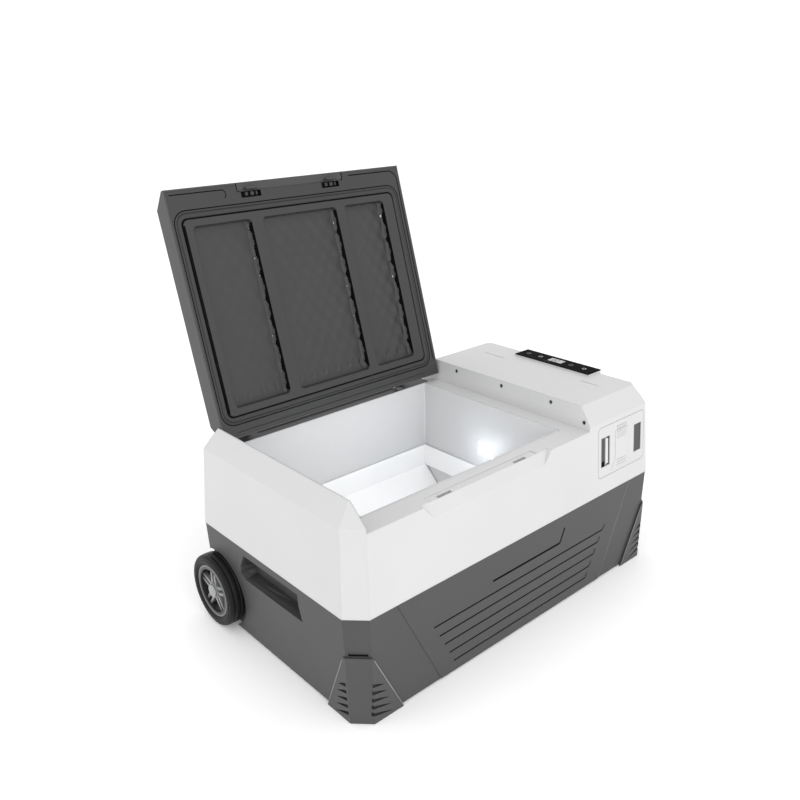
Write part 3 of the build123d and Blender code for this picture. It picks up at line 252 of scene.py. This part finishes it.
screw_dark = finish("screw_dark", (0.05, 0.05, 0.052), 0.35, 1600, 0.02, 0.08, 60.0, 0.3, metallic=0.6)
for i in range(len(nodes["partition_screws"].data.materials)):
    nodes["partition_screws"].data.materials[i] = screw_dark


# ---------------------------------------------------------------- mesh tools
def piece(name, points, faces, material, body, smooth=True):
    """A mesh piece that rides on a body. Points are in mm."""
    mesh = bpy.data.meshes.new(name)
    mesh.from_pydata([(x * MM, y * MM, z * MM) for x, y, z in points], [], faces)
    bm = bmesh.new()
    bm.from_mesh(mesh)
    bmesh.ops.recalc_face_normals(bm, faces=bm.faces)
    bm.to_mesh(mesh)
    bm.free()
    if smooth:
        mesh.shade_smooth()
    mesh.materials.append(material)
    obj = bpy.data.objects.new(name, mesh)
    scene.collection.objects.link(obj)
    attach(obj, body)
    return obj


HINGE = next(j for j in frame["joints"] if j["name"] == "lid_hinge")
H = Vector(HINGE["pos_m"]) / MM
OPENED = Matrix.Rotation(-math.radians(HINGE["range_deg"][1]), 4, "X")


def lid_point(x, y, z):
    """Where a point of the closed lid is when the lid stands open."""
    return tuple(H + OPENED @ (Vector((x, y, z)) - H))


def rounded(x0, x1, y0, y1, r, steps=8):
    """A rounded rectangle's outline, counterclockwise."""
    out = []
    corners = ((x1 - r, y1 - r, 0), (x0 + r, y1 - r, 90), (x0 + r, y0 + r, 180), (x1 - r, y0 + r, 270))
    for cx, cy, a0 in corners:
        for i in range(steps + 1):
            a = math.radians(a0 + 90.0 * i / steps)
            out.append((cx + r * math.cos(a), cy + r * math.sin(a)))
    return out


def ribbon(name, path, width, z, material, body, place=lambda *p: p, thick=0.25, closed=False):
    """A thin raised line along a path, with a rounded back, placed by place()."""
    n = len(path)
    pts, faces = [], []
    section = [(-0.5, 0.0), (-0.5, -0.6), (-0.25, -1.0), (0.25, -1.0), (0.5, -0.6), (0.5, 0.0)]
    for i in range(n):
        a = Vector(path[(i - 1) % n] if closed or i else path[0])
        b = Vector(path[(i + 1) % n] if closed or i < n - 1 else path[-1])
        t = (b - a).normalized()
        side = Vector((-t.y, t.x))
        for u, v in section:
            q = Vector(path[i]) + side * (u * width)
            pts.append(place(q.x, q.y, z + v * thick))
    m = len(section)
    for i in range(n if closed else n - 1):
        j = (i + 1) % n
        for k in range(m - 1):
            faces.append((i * m + k, i * m + k + 1, j * m + k + 1, j * m + k))
    if not closed:
        faces.append(tuple(range(m)))
        faces.append(tuple((n - 1) * m + k for k in reversed(range(m))))
    return piece(name, pts, faces, material, body)


# ---------------------------------------------------------------- lid underside
LID_Z0, PANEL_TOP = 274.5, 286.5
PANELS = ((-257.0, -160.0), (-141.0, -3.0), (13.0, 95.0))
PANEL_Y = (-127.0, 138.5)
SKIN_Z = PANEL_TOP - 2.4
SWELL = (0.22, 0.5, 0.85)  # height of the quilting, panel by panel
DENT = (1.0, 2.0, 1.4)  # depth of the diamond dents
QUILT_X, QUILT_Y = 24.0, 36.0
# light grey for the shards in the panel gaps, which paint glints
glint_grey = finish("glint_grey", (0.60, 0.60, 0.605), 0.35, 1200, 0.02, 0.1, 60.0, 0.0)
for number, (x0, x1) in enumerate(PANELS, 1):
    y0, y1 = PANEL_Y[0] + 1.8, PANEL_Y[1] - 1.8
    nx, ny = int((x1 - x0) / 1.6), 170
    pts, faces = [], []
    for j in range(ny + 1):
        y = y0 + (y1 - y0) * j / ny
        wave = 0.5 + 0.5 * math.cos(2 * math.pi * (y + 9 * number) / 35.0)
        ragged = 0.8 * math.sin(y * 0.47 + number) + 0.6 * math.sin(y * 1.3)
        climb = max(0.4, 4.6 - 3.4 * wave ** 2 + ragged)
        right = x1 - 3.4 - 1.6 * wave ** 3
        for i in range(nx + 1):
            x = x0 + 2.0 + (right - x0 - 2.0) * i / nx
            inside = min(1.0, (x - x0) / 26.0)
            fade = inside * min(1.0, (y - y0) / 9.0, (y1 - y) / 9.0)
            lift = (SWELL[number - 1] * fade
                    * math.cos(2 * math.pi * x / QUILT_X) * math.cos(2 * math.pi * y / QUILT_Y))
            # a row of diamond dents along the hinge end
            mid = QUILT_X * round((x - x0 - 8.0) / QUILT_X) + x0 + 8.0
            dent = max(0.0, 1.0 - abs(x - mid) / 5.5 - abs(y - y1 + 13.0) / 9.5)
            z = SKIN_Z - lift + DENT[number - 1] * dent
            if i == nx:
                # the free edge climbs the leaning wall
                z = SKIN_Z - climb
                x = x1 - 0.2 * (z - 274.0) - 0.45
            pts.append(lid_point(x, y, z))
    for j in range(ny):
        for i in range(nx):
            a = j * (nx + 1) + i
            faces.append((a, a + 1, a + nx + 2, a + nx + 1))
    piece(f"lid_panel_skin_{number}", pts, faces, quilt_dark, "lid")
    # the open gap beside the skin and the wall of its recess, covered by a near-black sheet that paints the shade
    # in that recess
    pts = [lid_point(x, y, z) for x, z in ((x1 - 11.5, PANEL_TOP - 0.25), (x1 - 2.75, PANEL_TOP - 0.25),
                                            (x1 - 1.55, PANEL_TOP - 6.5), (x1 - 0.42, PANEL_TOP - 11.9))
           for y in (y0 + 0.4, (y0 + y1) / 2, y1 - 0.4)]
    faces = [(3 * i + k, 3 * i + k + 1, 3 * i + k + 4, 3 * i + k + 3) for i in range(3) for k in (0, 1)]
    piece(f"lid_panel_gap_shade_{number}", pts, faces, line_black, "lid", smooth=False)

    # small light grey shards that stand in the gap: painted glints along the gap
    pts, faces = [], []
    for k, share in enumerate((0.03, 0.08, 0.21, 0.31, 0.47, 0.66, 0.92)):
        y, x = y0 + (y1 - y0) * share, x1 - 4.4 + 1.0 * math.sin(2.1 * k + number)
        size = 2.0 + 0.8 * math.sin(1.7 * k + 2 * number)
        pts += [lid_point(x, y, PANEL_TOP - 3.2), lid_point(x + 0.8 * size, y + 0.5, PANEL_TOP - 4.0),
                lid_point(x + 0.5 * size, y + 1.7 * size, PANEL_TOP - 3.4),
                lid_point(x + 0.3, y + size, PANEL_TOP - 2.8)]
        faces += [(4 * k, 4 * k + 1, 4 * k + 2), (4 * k, 4 * k + 2, 4 * k + 3), (4 * k, 4 * k + 3, 4 * k + 1),
                  (4 * k + 1, 4 * k + 3, 4 * k + 2)]
    piece(f"lid_panel_glints_{number}", pts, faces, glint_grey, "lid", smooth=False)

# gasket: an outer lip, a fine channel and a crowned bead
GX0, GX1, GY0, GY1, GW = -282.5, 128.5, -149.5, 161.0, 10.5
profile = [(0.15, 276.9), (0.15, 274.9), (0.7, 274.25), (2.6, 274.2), (3.1, 275.3), (3.5, 275.8),
           (3.9, 275.3), (4.5, 274.3), (6.6, 274.02), (8.8, 274.2), (10.0, 274.8), (10.4, 275.6),
           (10.4, 276.9)]
pts, faces = [], []
for inset, z in profile:
    ring = rounded(GX0 + inset, GX1 - inset, GY0 + inset, GY1 - inset, 19.8 - inset, 10)
    pts += [lid_point(x, y, z) for x, y in ring]
n = len(ring)
for k in range(len(profile) - 1):
    for i in range(n):
        j = (i + 1) % n
        faces.append((k * n + i, k * n + j, (k + 1) * n + j, (k + 1) * n + i))
seal = piece("lid_seal", pts, faces, looks["gasket"], "lid")
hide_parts("lid_gasket")


def arc(cx, cy, r, a0, a1, steps=8):
    return [(cx + r * math.cos(math.radians(a0 + (a1 - a0) * i / steps)),
             cy + r * math.sin(math.radians(a0 + (a1 - a0) * i / steps))) for i in range(steps + 1)]


hairpin = [(-281.0, -172.5), (-199.0, -172.5)] + arc(-199.0, -166.2, 6.3, -90, 60, 10)
ribbon("lid_line_hairpin", hairpin, 1.3, LID_Z0 - 0.02, line_black, "lid", lid_point, 0.12)
# black lines in the gap inside the gasket, widest along the left side: painted shade in that gap
inner = rounded(GX0 + GW + 1.1, GX1 - GW - 1.1, GY0 + GW + 1.1, GY1 - GW - 1.1, 9.0, 6)
ribbon("lid_gap_shade", inner, 2.1, LID_Z0 + 1.6, line_black, "lid", lid_point, 0.12,
       closed=True)
ribbon("lid_gap_shade_left", [(GX0 + GW + 2.6, GY0 + 20.0), (GX0 + GW + 2.6, GY1 - 18.0)], 4.0,
       LID_Z0 + 0.05, line_black, "lid", lid_point, 0.12)
ribbon("latch_lip", [(-170.0, -167.7), (17.6, -167.7)], 1.7, LID_Z0 - 0.01, looks["lid_inner_grey"],
       "lid", lid_point, 0.1)
outer = rounded(GX0 - 0.5, GX1 + 0.5, GY0 - 0.5, GY1 + 0.5, 20.3, 8)
ribbon("lid_line_rim", outer, 1.2, LID_Z0 - 0.02, line_black, "lid", lid_point, 0.12,
       closed=True)
corner = [(35.0, -172.9), (118.0, -172.9)] + arc(118.0, -156.1, 16.8, -90, 0, 12) + [(134.8, 150.0)]
ribbon("lid_line_corner", corner, 1.7, LID_Z0 - 0.02, line_black, "lid", lid_point, 0.12)

# catches behind the hooks, and the ends of the latch notch
for side, hx in (("left", -151.7), ("right", -5.2)):
    pts = [lid_point(x, y, LID_Z0 + z) for x, y, z in (
        (hx - 15.6, -167.6, 3.0), (hx + 17.6, -167.6, 3.0),
        (hx + 17.6, -158.4, 3.0), (hx - 15.6, -158.4, 3.0),
        (hx - 15.6, -158.3, 0.1), (hx + 17.6, -158.3, 0.1),
        (hx + 17.7, -167.6, 0.1), (hx - 15.7, -167.6, 0.1))]
    piece(f"latch_pocket_{side}", pts, [(0, 1, 2, 3), (3, 2, 5, 4), (1, 6, 5, 2), (0, 3, 4, 7)],
          line_black, "lid", smooth=False)
    for k, (u0, u1) in enumerate(((-8.0, -3.2), (1.0, 7.4), (10.4, 13.0)), 1):
        ring = rounded(hx + u0, hx + u1, -166.6, -160.2, 1.0, 3)
        count = len(ring)
        mx, my = (u0 + u1) / 2, -163.4
        pts = [lid_point(x, y, LID_Z0 + 2.9) for x, y in ring]
        pts += [lid_point(hx + mx + 0.8 * (x - hx - mx), my + 0.7 * (y - my), LID_Z0 + 1.4)
                for x, y in ring]
        faces = [(i, (i + 1) % count, count + (i + 1) % count, count + i) for i in range(count)]
        faces.append(tuple(range(count, 2 * count)))
        piece(f"latch_catch_{side}_{k}", pts, faces, looks["latch_grey"], "lid",
              smooth=False)
for side, x in (("left", -173.2), ("right", 20.9)):
    ribbon(f"latch_notch_{side}", [(x, -180.0), (x, -168.5)], 1.3, LID_Z0 - 0.02, line_black,
           "lid", lid_point, 0.1)

# dark hinge strip over the rear ledge and its trough; its dark tone also paints the shade under the open lid's
# lower edge
pts = [(x, y, z) for x, y, z in (
    (-262.0, 149.4, 273.8), (-217.0, 149.4, 273.8), (70.0, 149.4, 273.8), (126.0, 149.4, 273.8),
    (-262.0, 152.8, 273.8), (-217.0, 152.8, 273.8), (70.0, 152.8, 273.8), (126.0, 152.8, 273.8),
    (-262.0, 168.0, 273.8), (-217.0, 168.0, 273.8), (70.0, 168.0, 273.8), (126.0, 168.0, 273.8),
    (-217.0, 153.4, 267.0), (70.0, 153.4, 267.0), (-217.0, 181.2, 267.0), (70.0, 181.2, 267.0),
    (-217.0, 181.3, 270.0), (70.0, 181.3, 270.0))]
piece("hinge_strip", pts, [(0, 1, 5, 4), (1, 2, 6, 5), (2, 3, 7, 6), (4, 5, 9, 8), (6, 7, 11, 10),
                           (5, 6, 13, 12), (12, 13, 15, 14),
                           (14, 15, 17, 16)], looks["guard_dark"], "cabinet", smooth=False)

# ---------------------------------------------------------------- lower shell details
bead_highlight_grey = finish("bead_highlight_grey", (0.21, 0.21, 0.212), 0.42, 1500, 0.03, 0.05, 40.0, 0.0)
Y_LOW, Y_TOP, Z_LOW, Z_TOP = 186.5, 188.3, 3.0, 159.4
FIELD_RISE = 0.9


def front(x, z, w):
    """A point w mm inside the raised field of the lower shell's front face."""
    return (x, -(Y_LOW + (Y_TOP - Y_LOW) * (z - Z_LOW) / (Z_TOP - Z_LOW)) - FIELD_RISE + w, z)


# black ribbons along the bottoms of the front grooves: painted shade inside the grooves
GROOVES = ((-187.0, 93.7), (-176.5, 75.2), (-167.0, 57.0), (-157.5, 38.4), (-149.0, 20.2))
for k, (x0, z) in enumerate(GROOVES, 1):
    x1 = 2.0 - 0.98 * x0
    route = [(x0, z), (x1 - 2.2, z)] + arc(x1 - 2.2, z + 3.4, 3.4, -90, -22, 5) + [(x1 + 3.4, z + 8.0)]
    ribbon(f"front_groove_shade_{k}", route, 2.4, 0.95, line_black, "cabinet", front, 0.1)
route = [(-72.8, 114.3), (73.6, 114.3)] + arc(73.6, 116.9, 2.6, -90, -20, 5) + [(84.8, 136.8)]
ribbon("front_groove_shade_6", route, 3.3, 0.85, line_black, "cabinet", front, 0.1)

# a lighter line along the right slanted edge of the raised field: a painted highlight on that edge
edge_highlight_grey = finish("edge_highlight_grey", (0.15, 0.15, 0.151), 0.45, 1500, 0.03, 0.05, 40.0, 0.0)
ribbon("field_edge_highlight_right", [(184.6, 5.0), (248.0, 157.6)], 1.3, -0.02, edge_highlight_grey, "cabinet",
       front, 0.1)

# raised beads along the free edges of both corner guards, lighter grey to paint the highlight on those edges, and
# the dark band across each corner
SIDES = (("left", -1), ("right", 1))
GUARD_LOW, GUARD_TALL = 0.8, 102.2
HALF = math.sqrt(0.5)


def end_face(sign):
    """Points on a guard's end face, which leans out 2.9 mm over its height."""
    return lambda a, b, w: (sign * (316.1 + 2.9 * (b - GUARD_LOW) / GUARD_TALL - w), a, b)


def front_face(sign):
    """Points on a guard's front face, which leans out 0.3 mm over its height."""
    return lambda a, b, w: (sign * a, -(189.7 + 0.3 * (b - GUARD_LOW) / GUARD_TALL) + w, b)


def corner_face(sign):
    """Points on the 45 degree corner face above a guard."""
    return lambda a, b, w: (sign * (305.3 + a * HALF - (0.75 + w) * HALF),
                            -176.0 + a * HALF + (0.75 + w) * HALF, b)


for side, sign in SIDES:
    ribbon(f"guard_bead_end_{side}", [(-160.2, 98.6), (-121.8, 6.6)], 1.6, 0.0, bead_highlight_grey,
           "cabinet", end_face(sign), 0.5)
    ribbon(f"guard_bead_front_{side}", [(291.3, 98.6), (245.0, 2.6)], 1.6, 0.0, bead_highlight_grey,
           "cabinet", front_face(sign), 0.5)
    ribbon(f"corner_band_{side}", [(-12.3, 105.7), (12.3, 105.7)], 2.4, 0.0, line_black,
           "cabinet", corner_face(sign), 0.1)

# handle pockets: a darker grained lining over the faceted recess, which paints the shade inside the pockets
pocket_shade_dark = finish("pocket_shade_dark", (0.020, 0.020, 0.0205), 0.45, 1200, 0.06, 0.1, 30.0, 0.0, bump=0.8)
MOUTH = ((-71.0, 149.0), (64.0, 147.5), (77.5, 124.0), (79.5, 110.0), (66.0, 103.5), (-78.0, 105.5),
         (-71.5, 130.0))
DEEP = ((-56.0, 143.0), (58.0, 143.0), (66.0, 124.0), (66.0, 118.0), (60.0, 113.0), (-62.0, 113.0),
        (-57.0, 130.0))
POCKET_X, POCKET_DEPTH, POCKET_GAP = 322.0, 22.0, 0.12
for side, sign in SIDES:
    pts = []
    for t in (0.22, 0.5, 0.985):
        for (ya, za), (yb, zb) in zip(MOUTH, DEEP):
            y, z = ya + (yb - ya) * t, za + (zb - za) * t
            y, z = y + POCKET_GAP * (1 if y < 2 else -1), z + POCKET_GAP * (1 if z < 126 else -1)
            pts.append((sign * (POCKET_X - POCKET_DEPTH * t + (0.3 if t > 0.9 else 0.0)), y, z))
    faces = [(r * 7 + i, r * 7 + (i + 1) % 7, (r + 1) * 7 + (i + 1) % 7, (r + 1) * 7 + i)
             for r in (0, 1) for i in range(7)] + [tuple(range(14, 21))]
    piece(f"pocket_lining_{side}", pts, faces, pocket_shade_dark, "cabinet", smooth=False)

# ---------------------------------------------------------------- battery slots
BATTERY_X, BATTERY_Z = 225.3, 229.7
FACE_Y0, FACE_Z0, FACE_Y1, FACE_Z1 = 189.4, 160.0, 180.7, 280.3  # the front face's foot and head
slope = math.atan((FACE_Y0 - FACE_Y1) / (FACE_Z1 - FACE_Z0))
F_O = Vector((BATTERY_X, -(FACE_Y0 - (BATTERY_Z - FACE_Z0) * math.tan(slope)), BATTERY_Z))
F_N = Vector((0.0, -math.cos(slope), math.sin(slope)))
F_V = Vector((0.0, math.sin(slope), math.cos(slope)))


def face_point(u, v, w):
    """A point in the battery face's own plane: along, up and out of it."""
    return tuple(F_O + Vector((u, 0.0, 0.0)) + F_V * v + F_N * w)


def inlay(name, outline, w, material):
    pts = [face_point(u, v, w) for u, v in outline] + [face_point(u, v, w - 0.4) for u, v in outline]
    n = len(outline)
    faces = [tuple(range(n))] + [(i, (i + 1) % n, n + (i + 1) % n, n + i) for i in range(n)]
    return piece(name, pts, faces, material, "battery", smooth=False)


# dark backings in the slots and a black patch at the lower end of the left slot: painted shade inside the slot
# openings
slot_shade_grey = finish("slot_shade_grey", (0.055, 0.055, 0.056), 0.5, 1500, 0.04, 0.08, 40.0, 0.0)
SLOT_LOW, SLOT_HIGH = -24.3, 23.3


def slot_strip(name, u0, u1, top, w):
    inlay(name, [(u0, SLOT_LOW), (u1, SLOT_LOW), (u1, top), (u0, top)], w, slot_shade_grey)


slot_strip("slot_left_back", -52.7, -42.6, SLOT_HIGH, -1.1)
inlay("slot_left_end", [(-52.7, SLOT_LOW), (-42.6, SLOT_LOW), (-42.6, -17.0), (-46.0, -15.0), (-52.7, -17.5)],
      -1.0, line_black)
slot_strip("slot_left_gap", -36.0, -31.0, SLOT_HIGH, -5.6)
slot_strip("slot_right_back", 33.7, 52.9, 21.6, -1.1)
seam = rounded(-60.2, 60.2, -41.5, 41.5, 7.1, 8)
seam_grey = finish("seam_grey", (0.13, 0.13, 0.132), 0.6, 900, 0.02, 0.1, 40.0, 0.0)
ribbon("battery_outline", seam, 0.8, 0.0, seam_grey, "battery",
       lambda u, v, w: face_point(u, v, -w - 0.05), 0.05, closed=True)

# ---------------------------------------------------------------- display and key marks
mark_white = finish("mark_white", (0.62, 0.63, 0.64), 0.4, 1500, 0.01, 0.02, 60.0, 0.0)
mark_dim = finish("mark_dim", (0.16, 0.16, 0.165), 0.4, 1500, 0.01, 0.05, 60.0, 0.0)
DISPLAY_TOP, FASCIA_TOP, KEY_TOP = 310.67, 311.02, 311.17


def on_top(z):
    return lambda a, b, w: (a, b, z - w)


# two figures on the lit window
SEGMENTS = {"a": ((0, 2), (1, 2)), "b": ((1, 2), (1, 1)), "c": ((1, 1), (1, 0)),
            "d": ((0, 0), (1, 0)), "e": ((0, 1), (0, 0)), "f": ((0, 2), (0, 1)),
            "g": ((0, 1), (1, 1))}
for place, (figure, y0) in enumerate((("abcdef", 2.5), ("abged", -5.0)), 1):
    for letter in figure:
        (p0, q0), (p1, q1) = SEGMENTS[letter]
        # the figures read from the front, so their height runs along +X and their width along -Y
        ends = [(279.0 + 4.6 * q, y0 - 4.4 * p) for p, q in ((p0, q0), (p1, q1))]
        ribbon(f"display_figure_{place}_{letter}", ends, 0.9, 0.0, line_black, "cabinet",
               on_top(DISPLAY_TOP), 0.06)
for name, y in (("power", 54.0), ("set", 27.6), ("up", -37.9), ("down", -65.2)):
    ring = arc(281.3, y, 3.0, 0, 345, 18)
    tone = mark_white if name in ("set", "down") else mark_dim
    ribbon(f"key_mark_{name}", ring, 0.9, 0.0, tone, f"key_{name}", on_top(KEY_TOP), 0.05,
           closed=True)
for k, y in enumerate((12.0, 7.0, 2.0), 1):
    ribbon(f"fascia_mark_{k}", [(270.0, y), (270.0, y - 2.2)], 0.9, 0.0, mark_dim, "cabinet",
           on_top(FASCIA_TOP), 0.05)

# ---------------------------------------------------------------- tyres
def tyre(side, sign):
    """A rubber ring with a bead, a sidewall step, round shoulders and tread grooves, about the axle."""
    # the outer half of the section: distance from the tyre's middle, radius
    half = [(0.0, 56.4), (4.2, 56.4), (4.5, 55.9), (5.1, 55.9), (5.4, 56.35), (8.0, 56.1), (9.6, 55.6),
            (11.3, 54.3), (12.3, 52.6), (12.7, 51.2), (12.2, 50.7), (12.25, 50.0), (12.9, 49.4),
            (13.0, 47.4), (12.9, 45.6), (12.0, 44.9), (11.8, 44.3), (12.2, 43.4), (11.6, 42.2),
            (10.0, 41.7)]
    section = [(-x, r) for x, r in reversed(half[1:])] + half
    n, m = 144, len(section)
    pts, faces = [], []
    for i in range(n):
        a = 2 * math.pi * i / n
        for x, r in section:
            pts.append((sign * WHEEL_X + x, AXLE_Y + r * math.cos(a), AXLE_Z + r * math.sin(a)))
    for i in range(n):
        j = (i + 1) % n
        for k in range(m - 1):
            faces.append((i * m + k, i * m + k + 1, j * m + k + 1, j * m + k))
        faces.append((i * m + m - 1, i * m, j * m, j * m + m - 1))
    ring = piece(f"tyre_{side}", pts, faces, looks["tyre_rubber"], f"wheel_{side}")
    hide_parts(f"wheel_tyre_{side}")


for side, sign in SIDES:
    tyre(side, sign)

# ---------------------------------------------------------------- studio
world = bpy.data.worlds.new("studio")
scene.world = world
world.use_nodes = True
world.node_tree.nodes["Background"].inputs["Color"].default_value = (1.0, 1.0, 1.0, 1.0)
world.node_tree.nodes["Background"].inputs["Strength"].default_value = 1.04


def softbox(name, at, target, width, height, watts):
    light = bpy.data.lights.new(name, "AREA")
    light.shape, light.size, light.size_y = "RECTANGLE", width, height
    light.energy = watts
    obj = bpy.data.objects.new(name, light)
    obj.location = at
    obj.rotation_mode = "QUATERNION"
    obj.rotation_quaternion = (Vector(target) - Vector(at)).to_track_quat("-Z", "Y")
    scene.collection.objects.link(obj)


def bulb(name, at, watts, colour, radius):
    light = bpy.data.lights.new(name, "POINT")
    light.energy, light.color, light.shadow_soft_size = watts, colour, radius
    obj = bpy.data.objects.new(name, light)
    obj.location = at
    scene.collection.objects.link(obj)


softbox("key_softbox", (-0.5, -2.3, 1.3), (0.0, 0.0, 0.2), 1.6, 1.6, 15.0)
softbox("side_softbox", (-2.2, 0.9, 0.9), (0.0, 0.1, 0.2), 1.2, 1.2, 4.0)
bulb("lamp_glow", (0.080, 0.0, 0.193), 0.05, (0.86, 0.93, 1.0), 0.012)
bulb("box_fill", (-0.07, -0.01, 0.215), 0.28, (0.97, 0.985, 1.0), 0.05)

floor_mesh = bpy.data.meshes.new("floor")
bm = bmesh.new()
bmesh.ops.create_circle(bm, cap_ends=True, radius=12.0, segments=96)
bm.to_mesh(floor_mesh)
bm.free()
floor = bpy.data.objects.new("floor", floor_mesh)
floor_mesh.materials.append(finish("floor_paper", (0.985, 0.985, 0.986), 0.85, 900, 0.01, 0.004, 2.0, 0.0,
                                   specular=0.2, glow=0.10))
scene.collection.objects.link(floor)
